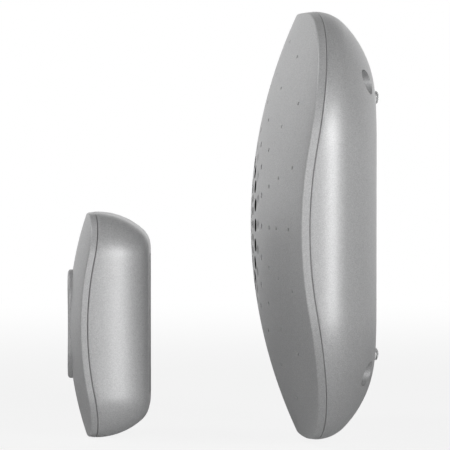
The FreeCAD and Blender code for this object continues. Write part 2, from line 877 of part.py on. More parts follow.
finish(turned("cloth_disc", [
    (0, S.speaker_seat - S.cloth_thick),
    (seat_outer - 1, S.speaker_seat - S.cloth_thick),
    (seat_outer - 1, S.speaker_seat),
    (0, S.speaker_seat),
]), "grille_cloth", "chime")
finish(turned("gasket_ring", [
    (gasket_inner, flange_front),
    (speaker_rim, flange_front),
    (speaker_rim, flange_front + S.gasket_thick),
    (gasket_inner, flange_front + S.gasket_thick),
]), "speaker_gasket", "chime")
basket = turned("basket", [
    (pole_radius + 0.4, magnet_front),
    (magnet_radius + 0.6, magnet_front),
    (speaker_rim - 2.5, flange_back),
    (speaker_rim, flange_back),
    (speaker_rim, flange_front),
    (speaker_rim - 3.3, flange_front),
    (magnet_radius, magnet_front + S.basket_wall),
    (pole_radius + 0.4, magnet_front + S.basket_wall),
])
window_near = magnet_front + S.basket_wall + 0.6
window_far = flange_back - 1
basket_windows = [
    block("basket_window", S.speaker_across, magnet_radius, window_near, window_far),
    block("basket_window", magnet_radius, S.speaker_across, window_near, window_far),
]
finish(cut("basket_cut", basket, basket_windows), "speaker_frame", "chime")
finish(turned("magnet_solid", [
    (0, magnet_back),
    (magnet_radius - 0.8, magnet_back),
    (magnet_radius, magnet_back + 0.8),
    (magnet_radius, magnet_front),
    (pole_radius + 1.4, magnet_front),
    (pole_radius + 1.4, magnet_back + 1.4),
    (pole_radius, magnet_back + 1.4),
    (pole_radius, cone_back - 0.5),
    (0, cone_back - 0.5),
]), "speaker_magnet", "chime")
finish(turned("cone_wall", [
    (cone_inner, cone_back),
    (roll_inner, flange_front - 0.9),
    (roll_inner + 1.6, flange_front + roll_rise),
    (roll_edge - 1.4, flange_front),
    (roll_edge, flange_front),
    (roll_edge, flange_front + roll_wall),
    (roll_edge - 1.2, flange_front + roll_wall),
    (roll_inner + 1.6, flange_front + roll_rise + S.cone_wall),
    (roll_inner - 0.3, flange_front - 0.9 + S.cone_wall),
    (cone_inner, cone_back + S.cone_wall),
]), "speaker_cone", "chime")
finish(turned("cap_dome", [
    (0, cone_back + 2.3),
    (cone_inner + 1.6, cone_back + 1.2),
    (cone_inner + 2.0, cone_back + 1.2),
    (cone_inner + 2.0, cone_back + 1.5),
    (0, cone_back + 2.7),
]), "speaker_dust_cap", "chime")

clamp_inner = speaker_rim - 2.2
clamp_outer = clamp_ring + S.clamp_post / 2
clamps = []
clamp_screws = []
for angle, (x, z) in zip(clamp_angles, clamp_places):
    plate = doc.addObject("Part::Box", "clamp_plate")
    bind(plate, "Length", clamp_outer - clamp_inner)
    bind(plate, "Width", S.clamp_thick)
    bind(plate, "Height", S.clamp_post)
    turned_place = Rotation(Vector(0, 1, 0), -angle)
    start = turned_place.multVec(Vector(1, 0, 0))
    side = turned_place.multVec(Vector(0, 0, 1))
    plate.Placement.Rotation = turned_place
    set_place(plate, clamp_inner * start.x - S.clamp_post / 2 * side.x, flange_back,
              clamp_inner * start.z - S.clamp_post / 2 * side.z)
    hole = rod("clamp_hole", S.board_screw + 4 * S.screw_gap, flange_back - S.clamp_thick - 1,
               flange_back + 1, x, z)
    clamps.append(cut("clamp", plate, [hole]))
    clamp_screws.append(screw(
        "clamp_screw", S.board_screw, S.board_screw_head, S.board_screw_head_deep,
        flange_back - S.clamp_thick, flange_back + 2.8, x, z))
finish(group("clamp_set", clamps), "speaker_clamps", "chime")
finish(group("clamp_screw_set", clamp_screws), "speaker_screws", "chime")


# Chime: circuit board, its parts and the controls reached from the back


board_front = S.board_forward + S.board_thick
board_blank = prism(
    "board_blank", S.board_width, S.board_height, S.board_corner,
    S.board_forward, board_front, 0, S.board_rise)
board_holes = [
    rod("board_hole", S.board_screw + 4 * S.screw_gap, S.board_forward - 1, board_front + 1, x, z)
    for x, z in post_places
]
finish(cut("chime_board_cut", board_blank, board_holes), "chime_circuit_board", "chime")
board_screws = [
    screw("board_screw", S.board_screw, S.board_screw_head, S.board_screw_head_deep,
          board_front, S.board_forward / 2 + 0.6, x, z, False)
    for x, z in post_places
]
finish(group("board_screw_set", board_screws), "chime_board_screws", "chime")

chip_wide, chip_tall, chip_thick = 7.6, 10.4, 2.2
chip_body = prism(
    "chip_body", chip_wide, chip_tall, 0.3, board_front + 0.2, board_front + chip_thick, -14, S.board_rise)
chip_legs = [
    block("chip_leg", 1.5, 0.45, board_front, board_front + chip_thick / 2,
          -14 + side * (chip_wide / 2 + 0.7), S.board_rise + S.chip_pitch * (row - 3))
    for side in (-1, 1)
    for row in range(7)
]
finish(fuse("chip_solid", [chip_body] + chip_legs), "sound_chip", "chime")

radio_board = prism("radio_board", 15, 12, 0.8, board_front + 0.8, board_front + 1.6, 9, S.board_rise + 4)
radio_can = prism("radio_can", 9, 9, 0.8, board_front + 1.6, board_front + 4.0, 8, S.board_rise + 4)
radio_pins = block("radio_pins", 12, 1.4, board_front, board_front + 0.8, 9, S.board_rise - 1)
finish(fuse("radio_solid", [radio_board, radio_can, radio_pins]), "radio_module", "chime")

finish(turned("capacitor_can", [
    (0, board_front),
    (S.capacitor_across / 2, board_front),
    (S.capacitor_across / 2, board_front + 1.2),
    (S.capacitor_across / 2 - 0.4, board_front + 1.6),
    (S.capacitor_across / 2, board_front + 2.0),
    (S.capacitor_across / 2, board_front + S.capacitor_tall - 0.5),
    (S.capacitor_across / 2 - 0.5, board_front + S.capacitor_tall),
    (0, board_front + S.capacitor_tall),
], 26, S.board_rise + 8), "smoothing_capacitor", "chime")

coil_turns = round(S.coil_turns.value)
coil_foot = board_front + 0.6
coil_rim = S.coil_core + S.coil_wire
coil_outline = [(0, board_front), (coil_rim, board_front), (coil_rim, coil_foot)]
for turn in range(coil_turns):
    coil_outline.append((S.coil_core, coil_foot + S.coil_wire * turn))
    coil_outline.append((S.coil_core + S.coil_wire / 2, coil_foot + S.coil_wire * (turn + 0.5)))
coil_outline.append((S.coil_core, coil_foot + S.coil_wire * coil_turns))
coil_outline.append((0, coil_foot + S.coil_wire * coil_turns))
coil = turned("coil_solid", coil_outline, -30, S.board_rise - 4)
finish(coil, "antenna_coil", "chime")

slide_body_back = S.board_forward - 4.4
slide_well = slider_window - 2 * S.cover_gap
slide_body = prism(
    "slide_body", slide_well + 3, S.slider_knob_tall + 3.4, 0.4, slide_body_back, S.board_forward,
    -S.slider_side, S.control_rise)
slide_slot = block(
    "slide_slot", slide_well, S.slider_knob_tall + 2 * S.cover_gap, slide_body_back - 1,
    S.board_forward - 1.6, -S.slider_side, S.control_rise)
finish(cut("slide_cut", slide_body, [slide_slot]), "volume_switch", "chime")
knob_tip = 0.5
finish(block(
    "slide_knob", S.slider_knob_wide, S.slider_knob_tall, knob_tip, S.board_forward - 2.0,
    -S.slider_side, S.control_rise), "volume_slider", "chime")

tune_body_back = S.board_forward - 3.4
tune_bore = S.tune_stem + 2 * S.screw_gap
tune_body = prism(
    "tune_body", S.switch_size, S.switch_size, 0.5, tune_body_back, S.board_forward,
    S.tune_side, S.control_rise)
tune_well = rod("tune_well", tune_bore, tune_body_back - 1, S.board_forward - 0.6,
                S.tune_side, S.control_rise)
finish(cut("tune_cut", tune_body, [tune_well]), "tune_switch", "chime")
cap_end = tune_body_back - S.tune_travel - 0.2
finish(turned("tune_cap", [
    (0, 0.3),
    (S.tune_across / 2 - 0.4, 0.3),
    (S.tune_across / 2, 0.7),
    (S.tune_across / 2, cap_end),
    (S.tune_stem / 2, cap_end),
    (S.tune_stem / 2, S.board_forward - 0.8 - S.tune_travel),
    (0, S.board_forward - 0.8 - S.tune_travel),
], S.tune_side, S.control_rise), "tune_button", "chime")


# Push: housing with the opening for its back plate


def push_dome(name, back_from_face):
    return barrel(
        name, S.push_depth - back_from_face, S.push_dome_wide, S.push_dome_tall, S.push_width / 2 + 6)


def push_shell(name, shrink, back):
    return rounded_block(
        name,
        S.push_width - 2 * shrink,
        S.push_height - 2 * shrink,
        S.push_corner - shrink,
        S.push_round_in - shrink,
        S.push_round_deep - shrink,
        S.push_round_tight - shrink,
        S.push_depth + 4,
        True,
        back,
    )


push_near = 6.0
push_far = S.push_depth + 4
push_seam = S.push_fascia_wall + S.seam_reveal
plate_seat_deep = S.plate_thick + 1.8
push_posts_rise = S.push_board_height / 2 - 2.4
push_board_back = S.push_board_forward - S.push_board_thick

push_outside = push_shell("push_shell_outside", 0, 0)
push_inside = push_shell("push_shell_inside", S.push_wall, S.push_wall)
push_walls = cut("push_walls", push_outside, [push_inside])
push_to_fascia = common(
    "push_to_fascia", push_walls, push_dome("push_land_dome", S.push_fascia_wall + S.fit_gap))
push_reveal_ring = ring_block(
    "push_reveal_ring", S.push_width, S.push_height, S.push_corner, -reveal_spare,
    S.push_wall / 2 + reveal_spare, block_near, push_far)
push_reveal = cut("push_reveal", push_reveal_ring, [push_dome("push_seam_dome", push_seam)])
push_shell_cut = cut("push_shell_cut", push_to_fascia, [push_reveal])
plate_frame = prism(
    "plate_frame", S.plate_width + 4, S.plate_height + 4, S.plate_corner + 1,
    S.push_wall / 2, plate_seat_deep)
push_posts = [
    rod("push_post", S.push_post_across, 0, push_board_back, 0, side * push_posts_rise) for side in (-1, 1)
]
push_roots = push_shell("push_post_roots", S.push_wall / 2, S.push_wall / 2)
rooted_posts = common("rooted_posts", fuse("push_post_set", push_posts), push_roots)
push_solid = fuse("push_solid", [push_shell_cut, plate_frame, rooted_posts])
push_cuts = [
    prism("plate_seat", S.plate_width + 2 * S.cover_gap, S.plate_height + 2 * S.cover_gap,
          S.plate_corner, -1, S.plate_thick),
    prism("plate_opening", S.plate_width - 2 * S.plate_ledge, S.plate_height - 2 * S.plate_ledge,
          S.plate_corner, -1, plate_seat_deep + 1),
]
for side in (-1, 1):
    push_cuts.append(rod(
        "push_post_bore", S.board_screw + 2 * S.screw_gap, push_board_back - 6, push_board_back + 1,
        0, side * push_posts_rise))
finish(cut("push_housing_cut", push_solid, push_cuts), "push_housing", "push")

plate_blank = prism("plate_blank", S.plate_width, S.plate_height, S.plate_corner, 0, S.plate_thick)
plate_cuts = []
for side in (-1, 1):
    plate_cuts.append(rod(
        "plate_hole", S.plate_hole, -1, S.plate_thick + 1, 0, side * S.plate_hole_pitch / 2))
finish(cut("plate_cut", plate_blank, plate_cuts), "push_back_plate", "push")


# Push: domed fascia and the button that stands in it


button_corner = S.button_width / 2 - 0.3
opening_wide = S.button_width + 2 * S.button_gap
opening_tall = S.button_height + 2 * S.button_gap
flange_top = S.push_depth - 4.4
push_outline = prism(
    "push_outline", S.push_width, S.push_height, S.push_corner, push_near, push_far)
push_front = common("push_front", push_outline, push_dome("push_face", 0))
push_plate = cut("push_plate", push_front, [push_dome("push_rear", S.push_fascia_wall)])
push_skirt = prism(
    "push_skirt", opening_wide + 2 * S.skirt_wall, opening_tall + 2 * S.skirt_wall,
    button_corner + S.button_gap + S.skirt_wall, flange_top + 0.1, push_far)
push_skin = S.push_fascia_wall / 2
push_skirt_cut = common("push_skirt_cut", push_skirt, push_dome("push_skirt_top", push_skin))
push_lip_inset = S.push_wall + S.fit_gap
push_lip = wall_lip(
    "push_lip", (S.push_width, S.push_height, S.push_corner), push_lip_inset, push_near, push_far,
    push_dome, push_skin, S.push_fascia_wall + S.lip_height,
    push_shell("push_lip_clip", push_lip_inset, push_lip_inset))
push_fascia_solid = fuse("push_fascia_solid", [push_plate, push_skirt_cut, push_lip])
button_opening = prism(
    "button_opening", opening_wide, opening_tall, button_corner + S.button_gap, push_near, push_far)
finish(cut("push_fascia_cut", push_fascia_solid, [button_opening]), "push_fascia", "push")

button_face = S.push_depth + S.button_proud
switch_top = S.push_board_forward + S.switch_body
plunger_tip = switch_top + S.plunger_long
button_body = prism(
    "button_body", S.button_width, S.button_height, button_corner,
    flange_top - S.button_flange_thick, button_face)
doc.recompute()
button_pad = button_body.Tip
front_edges = [
    f"Edge{index}"
    for index, edge in enumerate(button_pad.Shape.Edges, start=1)
    if all(abs(vertex.Point.y + button_face.value) < 1e-6 for vertex in edge.Vertexes)
]
button_rim = button_body.newObject("PartDesign::Fillet", "Fillet")
button_rim.Base = (button_pad, front_edges)
bind(button_rim, "Radius", S.button_edge)
button_body.Tip = button_rim

dish_half = S.button_height / 2 - S.button_edge
dish_bend = (dish_half * dish_half + S.button_dish * S.button_dish) / (2 * S.button_dish)
dish = doc.addObject("Part::Cylinder", "button_dish")
dish.Placement.Rotation = Rotation(Vector(0, 1, 0), 90)
bind(dish, "Radius", dish_bend)
bind(dish, "Height", 2 * S.button_width)
set_place(dish, -S.button_width, button_face - S.button_dish + dish_bend, 0)
button_flange = prism(
    "button_flange_block", S.button_width + 2 * S.button_flange, S.button_height + 2 * S.button_flange,
    button_corner + S.button_flange, flange_top - S.button_flange_thick, flange_top)
stem_end = plunger_tip + 0.1
button_hollow = prism(
    "button_hollow", S.button_width - 2 * S.push_wall, S.button_height - 2 * S.push_wall,
    button_corner - S.push_wall, flange_top - S.button_flange_thick - 1, button_face - S.push_wall - 1)
button_cap = cut("button_cap", button_body, [dish, button_hollow])
button_ribs = [
    block("button_rib", S.button_width - S.push_wall, S.button_rib, flange_top - S.button_flange_thick,
          button_face - S.push_wall - 0.8),
    block("button_rib", S.button_rib, S.button_height - S.push_wall, flange_top - S.button_flange_thick,
          button_face - S.push_wall - 0.8),
]
flange_ring = cut("flange_ring", button_flange, [button_hollow])
long_stem = rod("long_stem", S.stem_across, stem_end, button_face - S.push_wall - 0.8)
finish(fuse("button_solid", [button_cap, flange_ring, long_stem] + button_ribs), "push_button", "push")


# Push: circuit board, switch, cell and its holder


push_board_blank = prism(
    "push_board_blank", S.push_board_width, S.push_board_height, S.board_corner, push_board_back,
    S.push_board_forward)
push_board_holes = [
    rod("push_board_hole", S.board_screw + 4 * S.screw_gap, push_board_back - 1,
        S.push_board_forward + 1, 0, side * push_posts_rise)
    for side in (-1, 1)
]
finish(cut("push_board_cut", push_board_blank, push_board_holes), "push_circuit_board", "push")
push_screws = [
    screw("push_screw", S.board_screw, S.board_screw_head, S.board_screw_head_deep,
          S.push_board_forward, push_board_back - 5, 0, side * push_posts_rise, False)
    for side in (-1, 1)
]
finish(group("push_screw_set", push_screws), "push_board_screws", "push")

plunger_back = S.push_board_forward + S.button_travel + 1.0
switch_case = prism(
    "switch_case", S.switch_size, S.switch_size, 0.6, S.push_board_forward, switch_top)
switch_bore = rod(
    "switch_bore", S.plunger_across + 2 * S.screw_gap, S.push_board_forward + 0.8, switch_top + 1)
finish(cut("switch_cut", switch_case, [switch_bore]), "push_switch", "push")
finish(turned("plunger_solid", [
    (0, plunger_back),
    (S.plunger_across / 2, plunger_back),
    (S.plunger_across / 2, plunger_tip - 0.3),
    (S.plunger_across / 2 - 0.3, plunger_tip),
    (0, plunger_tip),
]), "push_switch_plunger", "push")

coin_front = push_board_back - 0.4
coin_back = coin_front - S.coin_thick
coin_radius = S.coin_across / 2
coin_rim = 0.5
finish(turned("coin_solid", [
    (0, coin_back),
    (coin_radius - coin_rim, coin_back),
    (coin_radius, coin_back + coin_rim),
    (coin_radius, coin_front - coin_rim),
    (coin_radius - 1.4, coin_front),
    (0, coin_front),
]), "coin_cell", "push")
clip_inner = coin_radius + S.fit_gap
clip_ring = turned("clip_ring", [
    (clip_inner, coin_back - 0.6),
    (clip_inner + S.clip_wall, coin_back - 0.6),
    (clip_inner + S.clip_wall, push_board_back),
    (clip_inner, push_board_back),
])
clip_mouth = block("clip_mouth", S.coin_across * 0.7, S.coin_across, coin_back - 2, coin_back + 1.4,
                   0, -S.coin_across / 2)
clip_strap = block(
    "clip_strap", S.clip_strap, 2 * (clip_inner + S.clip_wall / 2), coin_back - 0.6, coin_back - 0.1)
clip_tab = block("clip_tab", S.clip_strap, S.clip_wall, coin_back - 0.6, push_board_back,
                 0, -(clip_inner + S.clip_wall / 2))
finish(fuse("clip_solid", [cut("clip_open", clip_ring, [clip_mouth]), clip_strap, clip_tab]),
       "cell_clip", "push")

push_chip_body = prism(
    "push_chip_body", 3.9, 4.9, 0.2, S.push_board_forward + 0.15, S.push_board_forward + 1.6, -9, -16)
push_chip_legs = [
    block("push_chip_leg", 1.1, 0.42, S.push_board_forward, S.push_board_forward + 0.8,
          -9 + side * 2.4, -16 + S.chip_pitch * (row - 1.5))
    for side in (-1, 1)
    for row in range(4)
]
finish(fuse("push_chip_solid", [push_chip_body] + push_chip_legs), "transmitter_chip", "push")
can_radius = S.resonator_across / 2
finish(turned("resonator_solid", [
    (0, S.push_board_forward),
    (can_radius + 0.5, S.push_board_forward),
    (can_radius + 0.5, S.push_board_forward + 0.5),
    (can_radius, S.push_board_forward + 0.5),
    (can_radius, S.push_board_forward + S.resonator_tall - 0.4),
    (can_radius - 0.4, S.push_board_forward + S.resonator_tall),
    (0, S.push_board_forward + S.resonator_tall),
], 8, -16), "resonator_can", "push")


# Checks, then one file for each piece


doc.recompute()
faults = [item.Name for item in doc.Objects if {"Invalid", "Error"} & set(item.State)]
faults += [piece.Label for piece in finished if piece.Shape.isNull() or not piece.Shape.isValid()]
if faults:
    raise RuntimeError("these pieces were not built: " + ", ".join(faults))
os.makedirs("parts", exist_ok=True)
for piece in finished:
    piece.Shape.exportStep(f"parts/{piece.Label}.step")
print(len(finished), "pieces written")
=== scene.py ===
import math

import bmesh
import bpy
import numpy as np
from mathutils import Matrix, Vector


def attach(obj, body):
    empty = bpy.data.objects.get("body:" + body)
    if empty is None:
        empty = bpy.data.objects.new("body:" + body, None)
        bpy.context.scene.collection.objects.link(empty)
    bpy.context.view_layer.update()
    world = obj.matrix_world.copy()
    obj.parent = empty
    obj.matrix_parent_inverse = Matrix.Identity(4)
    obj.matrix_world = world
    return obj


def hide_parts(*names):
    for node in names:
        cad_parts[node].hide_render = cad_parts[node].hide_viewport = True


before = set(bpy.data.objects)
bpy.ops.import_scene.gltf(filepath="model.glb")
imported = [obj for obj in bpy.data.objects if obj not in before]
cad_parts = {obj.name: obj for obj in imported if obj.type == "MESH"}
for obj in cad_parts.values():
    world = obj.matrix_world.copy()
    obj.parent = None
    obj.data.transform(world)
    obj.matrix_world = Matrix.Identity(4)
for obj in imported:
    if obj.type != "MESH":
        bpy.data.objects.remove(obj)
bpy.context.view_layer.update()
mm = 0.001

# Camera
# The set is seen straight from its right side and a little from above, through a long lens.
# The camera looks at a spot close to the middle of the whole set.
camera = bpy.data.objects.new("camera", bpy.data.cameras.new("camera"))
bpy.context.collection.objects.link(camera)
looks_at = Vector((0, -49.03 * mm, -27.73 * mm))
camera_rise = math.radians(2.11)
camera_way = Vector((math.cos(camera_rise), 0, math.sin(camera_rise)))
camera_far = 1209 * mm
camera.location = looks_at + camera_far * camera_way
camera.rotation_euler = camera_way.to_track_quat("Z", "Y").to_euler()
camera.data.sensor_width = 36
camera.data.lens = 288.8
bpy.context.scene.camera = camera
bpy.context.scene.view_settings.view_transform = "Standard"


# Floor, backdrop and light
# A pale studio sweep: a floor that turns up into a wall far behind the set, soft boxes beside,
# above and in front, and a dim room. The floor is plain near the set, where it keeps the set's
# shadow, and fades into white further off.


class Wire:
    """A node's socket that can be reckoned with: each sum or product adds its Math node."""

    def __init__(self, web, socket):
        self.web = web
        self.socket = socket

    def __add__(self, other):
        return self.web.maths("ADD", self, other)

    def __radd__(self, other):
        return self.web.maths("ADD", other, self)

    def __sub__(self, other):
        return self.web.maths("SUBTRACT", self, other)

    def __rsub__(self, other):
        return self.web.maths("SUBTRACT", other, self)

    def __mul__(self, other):
        return self.web.maths("MULTIPLY", self, other)

    def __rmul__(self, other):
        return self.web.maths("MULTIPLY", other, self)

    def __truediv__(self, other):
        return self.web.maths("DIVIDE", self, other)

    def __pow__(self, other):
        return self.web.maths("POWER", self, other)


class Web:
    """A node tree that is written as one expression after another."""

    def __init__(self, tree):
        self.tree = tree

    def node(self, kind, sockets=None, output=0, **settings):
        """Adds any node: its settings first, then the values or wires of its sockets."""
        node = self.tree.nodes.new(kind)
        for name, value in settings.items():
            setattr(node, name, value)
        self.fill(node, sockets or {})
        return Wire(self, node.outputs[output])

    def fill(self, node, sockets):
        for name, value in sockets.items():
            if isinstance(value, Wire):
                self.tree.links.new(value.socket, node.inputs[name])
            else:
                node.inputs[name].default_value = value

    def maths(self, operation, first, second=0.0):
        return self.node("ShaderNodeMath", {0: first, 1: second}, operation=operation)

    def part(self, place, axis):
        return self.node("ShaderNodeSeparateXYZ", {0: place}, output=axis)


def looked_at(web, *rays):
    """One where such a ray looks at the surface, and nought for the light that falls on it."""
    paths = [web.node("ShaderNodeLightPath", output=ray) for ray in rays]
    return web.maths("MINIMUM", sum(paths, 0.0), 1.0)


world = bpy.data.worlds.new("studio")
world.use_nodes = True
bpy.context.scene.world = world
room = Web(world.node_tree)
room_in_gloss = 0.3
room_light = 0.02
room.fill(world.node_tree.nodes["Background"], {
    "Color": (1, 1, 1, 1),
    "Strength": looked_at(room, "Is Camera Ray", "Is Transmission Ray")
    + looked_at(room, "Is Glossy Ray") * room_in_gloss + room_light,
})

floor_reach = 5.0
floor_rise = -98.4 * mm
wall_back = -3.0
wall_bend = 0.8
wall_top = 2.4
bend_steps = 16
sweep_line = [(floor_reach, 0.0)]
for step in range(bend_steps + 1):
    turn = step / bend_steps * math.pi / 2
    sweep_line.append((wall_back - wall_bend * math.sin(turn), wall_bend * (1 - math.cos(turn))))
sweep_line.append((wall_back - wall_bend, wall_top))
floor_mesh = bpy.data.meshes.new("floor")
floor_mesh.from_pydata(
    [(x, side * floor_reach, floor_rise + up) for x, up in sweep_line for side in (-1, 1)],
    [], [(2 * item, 2 * item + 1, 2 * item + 3, 2 * item + 2) for item in range(len(sweep_line) - 1)])
floor_mesh.shade_smooth()
floor = bpy.data.objects.new("floor", floor_mesh)
bpy.context.collection.objects.link(floor)
floor_paint = bpy.data.materials.new("floor")
floor_paint.use_nodes = True
floor_web = Web(floor_paint.node_tree)
floor_nodes = floor_paint.node_tree.nodes
floor_web.fill(floor_nodes["Principled BSDF"], {"Base Color": (0.9, 0.9, 0.9, 1), "Roughness": 0.9})
whiteness = floor_web.node("ShaderNodeEmission", {"Color": (1, 1, 1, 1), "Strength": 1.0})
off_the_set = floor_web.node(
    "ShaderNodeVectorMath", {0: floor_web.node("ShaderNodeTexCoord", output="Object")},
    output="Value", operation="LENGTH")
plain_within = 0.25
white_beyond = 0.8
faded = floor_web.node("ShaderNodeMapRange", {
    "Value": off_the_set, "From Min": plain_within, "From Max": white_beyond,
}, interpolation_type="SMOOTHSTEP")
shadow_share = 0.14
floor_web.fill(floor_nodes["Material Output"], {"Surface": floor_web.node("ShaderNodeMixShader", {
    0: looked_at(floor_web, "Is Camera Ray") * (1 - shadow_share * (1 - faded))
    + looked_at(floor_web, "Is Glossy Ray", "Is Transmission Ray") * faded,
    1: Wire(floor_web, floor_nodes["Principled BSDF"].outputs[0]),
    2: whiteness,
})})
floor_mesh.materials.append(floor_paint)


def soft_box(name, watts, size, turn, rise, far):
    """A square soft light that points at the set, by its turn from the camera's side and its rise."""
    set_middle = Vector((0, -0.04, -0.03))
    lamp = bpy.data.lights.new(name, "AREA")
    lamp.energy = watts
    lamp.size = size
    light = bpy.data.objects.new(name, lamp)
    bpy.context.collection.objects.link(light)
    turn, rise = math.radians(turn), math.radians(rise)
    way = Vector((math.cos(rise) * math.cos(turn), math.cos(rise) * math.sin(turn), math.sin(rise)))
    light.location = set_middle + far * way
    light.rotation_euler = way.to_track_quat("Z", "Y").to_euler()


soft_box("beside_rear", 5.6, 0.5, 39, 9, 1.2)
soft_box("beside_front", 1.7, 0.45, -20, 9, 1.45)
soft_box("beside_low", 1.2, 0.3, 10, 3, 1.5)
soft_box("front_low", 0.8, 0.45, -40, 9, 1.2)
soft_box("front_high", 2.1, 0.6, -90, 50, 1.1)
soft_box("front_far", 0.5, 0.6, -135, 25, 1.1)
soft_box("rear", 0.1, 0.45, 70, 9, 1.2)
soft_box("far_low", 0.8, 0.6, 172, 12, 1.1)


# Chime fascia
# The domed front of the chime, moulded in plastic and sprayed with satin silver paint.
# Rings of holes on twenty rays let the sound out and fade into dimples and dots; a lip inside
# locates it in the housing, and four screws from behind hold it.


corner_steps = 26
side_steps = 18


def rounded_ring(half_wide, half_tall, corner):
    """The corner middles and outward ways of a rounded rectangle, point by point round it."""
    middles, ways = [], []
    signs = [(1, 1), (-1, 1), (-1, -1), (1, -1)]
    spots = [(x * (half_wide - corner), z * (half_tall - corner)) for x, z in signs]
    for quarter in range(4):
        here, following = Vector(spots[quarter]), Vector(spots[(quarter + 1) % 4])
        for step in range(corner_steps):
            angle = (quarter + step / corner_steps) * math.pi / 2
            middles.append(here)
            ways.append((math.cos(angle), math.sin(angle)))
        angle = (quarter + 1) * math.pi / 2
        for step in range(side_steps):
            middles.append(here.lerp(following, step / side_steps))
            ways.append((math.cos(angle), math.sin(angle)))
    return np.array(middles), np.array(ways)


def at_depth(flat, depth):
    """Points over a flat outline, all at one depth or each at its own."""
    return np.column_stack([flat[:, 0], np.broadcast_to(depth, len(flat)), flat[:, 1]])


class Case:
    """One unit's outside: its outline, its domed face and the two arcs that round its back."""

    def __init__(self, half_wide, half_tall, corner, apex, bend_wide, bend_tall, ahead, rise):
        self.corner = corner
        self.middles, self.ways = rounded_ring(half_wide, half_tall, corner)
        self.apex = apex
        self.bend_wide = bend_wide
        self.bend_tall = bend_tall
        self.ahead = ahead
        self.rise = rise

    def round_back(self, inset, deep, side_bend, back_bend):
        self.inset, self.deep = inset, deep
        self.side_bend, self.back_bend = side_bend, back_bend

    def face(self, x, z):
        """How far the domed face stands in front of the unit's back."""
        bend = self.bend_tall - self.bend_wide + np.sqrt(self.bend_wide ** 2 - x ** 2)
        return self.apex - self.bend_tall + np.sqrt(bend ** 2 - z ** 2)

    def outline(self, inset):
        return self.middles + np.reshape(self.corner - inset, (-1, 1)) * self.ways

    def on_face(self, flat, below):
        """Points over a flat outline, at a depth below the domed face."""
        return at_depth(flat, self.face(flat[:, 0], flat[:, 1]) - below)

    def ring(self, inset, below):
        return self.on_face(self.outline(inset), below)

    def lip(self, inset, below, shrink, clearance):
        """A ring that stays clear of the inside of a wall where that turns in towards the back."""
        bend = self.side_bend - shrink
        fall = np.clip(self.deep - self.ring(inset, below)[:, 1], 0, bend)
        turned_in = self.side_bend - np.sqrt(bend ** 2 - fall ** 2)
        return self.ring(np.maximum(inset, turned_in + clearance), below)

    def level(self, inset, forward):
        """Points round the outline, at a depth in front of the back."""
        return at_depth(self.outline(inset), forward)

    def wall(self, shrink, below, side_rings, back_rings):
        """Rings from just under the face, down the side and round to the flat back.

        The side's arc and the back's arc meet on the line through their middles.
        """
        side_bend, back_bend = self.side_bend - shrink, self.back_bend - shrink
        apart = np.array([self.inset - self.side_bend, self.back_bend - self.deep])
        apart = apart if back_bend < side_bend else -apart
        meeting = math.atan2(apart[1], apart[0]) % (2 * math.pi)
        top = self.ring(shrink, below)[:, 1]
        straight = np.maximum(top - self.deep, 0)
        start = np.pi + np.arcsin(np.clip(self.deep - top, 0, None) / side_bend)
        arc = side_bend * (meeting - start)
        rings = []
        for step in range(side_rings):
            run = (straight + arc) * step / side_rings
            angle = start + np.maximum(run - straight, 0) / side_bend
            inset = self.side_bend + side_bend * np.cos(angle)
            forward = self.deep + side_bend * np.sin(angle)
            on_side = run < straight
            inset = np.where(on_side, shrink, inset)
            forward = np.where(on_side, top - run, forward)
            rings.append(self.level(inset, forward))
        for angle in np.linspace(meeting, 1.5 * np.pi, back_rings):
            rings.append(self.level(
                self.inset + back_bend * math.cos(angle), self.back_bend + back_bend * math.sin(angle)))
        return rings

    def stand(self, points):
        """Moves points of this unit to their place in the set."""
        return np.column_stack([points[:, 0], -points[:, 1] - self.ahead, points[:, 2] + self.rise])


def shrunk(ring, count, dome=None):
    """Rings that shrink from one ring towards its middle, on a dome if one is given."""
    rings = []
    for step in range(1, count):
        flat = ring[:, (0, 2)] * (1 - (step / count) ** 0.8)
        rings.append(dome(flat) if dome else at_depth(flat, ring[:, 1]))
    return rings


def skin(name, form):
    """Makes a piece of a closed form, with its faces outward."""
    if form.calc_volume(signed=True) < 0:
        bmesh.ops.reverse_faces(form, faces=form.faces)
    mesh = bpy.data.meshes.new(name)
    form.to_mesh(mesh)
    form.free()
    piece = bpy.data.objects.new(name, mesh)
    bpy.context.collection.objects.link(piece)
    return piece


def loft(name, unit, rings, joined=False, ends=None):
    """A closed skin over rings of points; its ends meet in two middle points, or in each other."""
    form = bmesh.new()
    rows = [[form.verts.new(point) for point in unit.stand(ring)] for ring in rings]
    pairs = list(zip(rows, rows[1:]))
    if joined:
        pairs.append((rows[-1], rows[0]))
    for near, far in pairs:
        for item in range(len(near)):
            after = (item + 1) % len(near)
            form.faces.new((near[item], near[after], far[after], far[item]))
    if not joined:
        for row, end in zip((rows[0], rows[-1]), ends or (None, None)):
            place = unit.stand(np.array([end]))[0] if end else np.mean([v.co for v in row], axis=0)
            middle = form.verts.new(place)
            for item in range(len(row)):
                pair = (row[item], row[(item + 1) % len(row)])
                form.faces.new((middle, *(pair if row is rows[-1] else pair[::-1])))
    return skin(name, form)


def settle(piece, crease=32):
    """Keeps what a piece's modifiers made as its plain mesh, smooth up to a crease."""
    ready = piece.evaluated_get(bpy.context.evaluated_depsgraph_get())
    mesh = bpy.data.meshes.new_from_object(ready)
    mesh.name = piece.name
    piece.modifiers.clear()
    piece.data = mesh
    mesh.shade_smooth()
    mesh.set_sharp_from_angle(angle=math.radians(crease))


def fillet(bend, steps):
    """How far in and how far down each step of a rounded edge lies, from the face to the side."""
    turns = [step / steps * math.pi / 2 for step in range(steps + 1)]
    return [(bend * (1 - math.sin(turn)), bend * (1 - math.cos(turn))) for turn in turns]


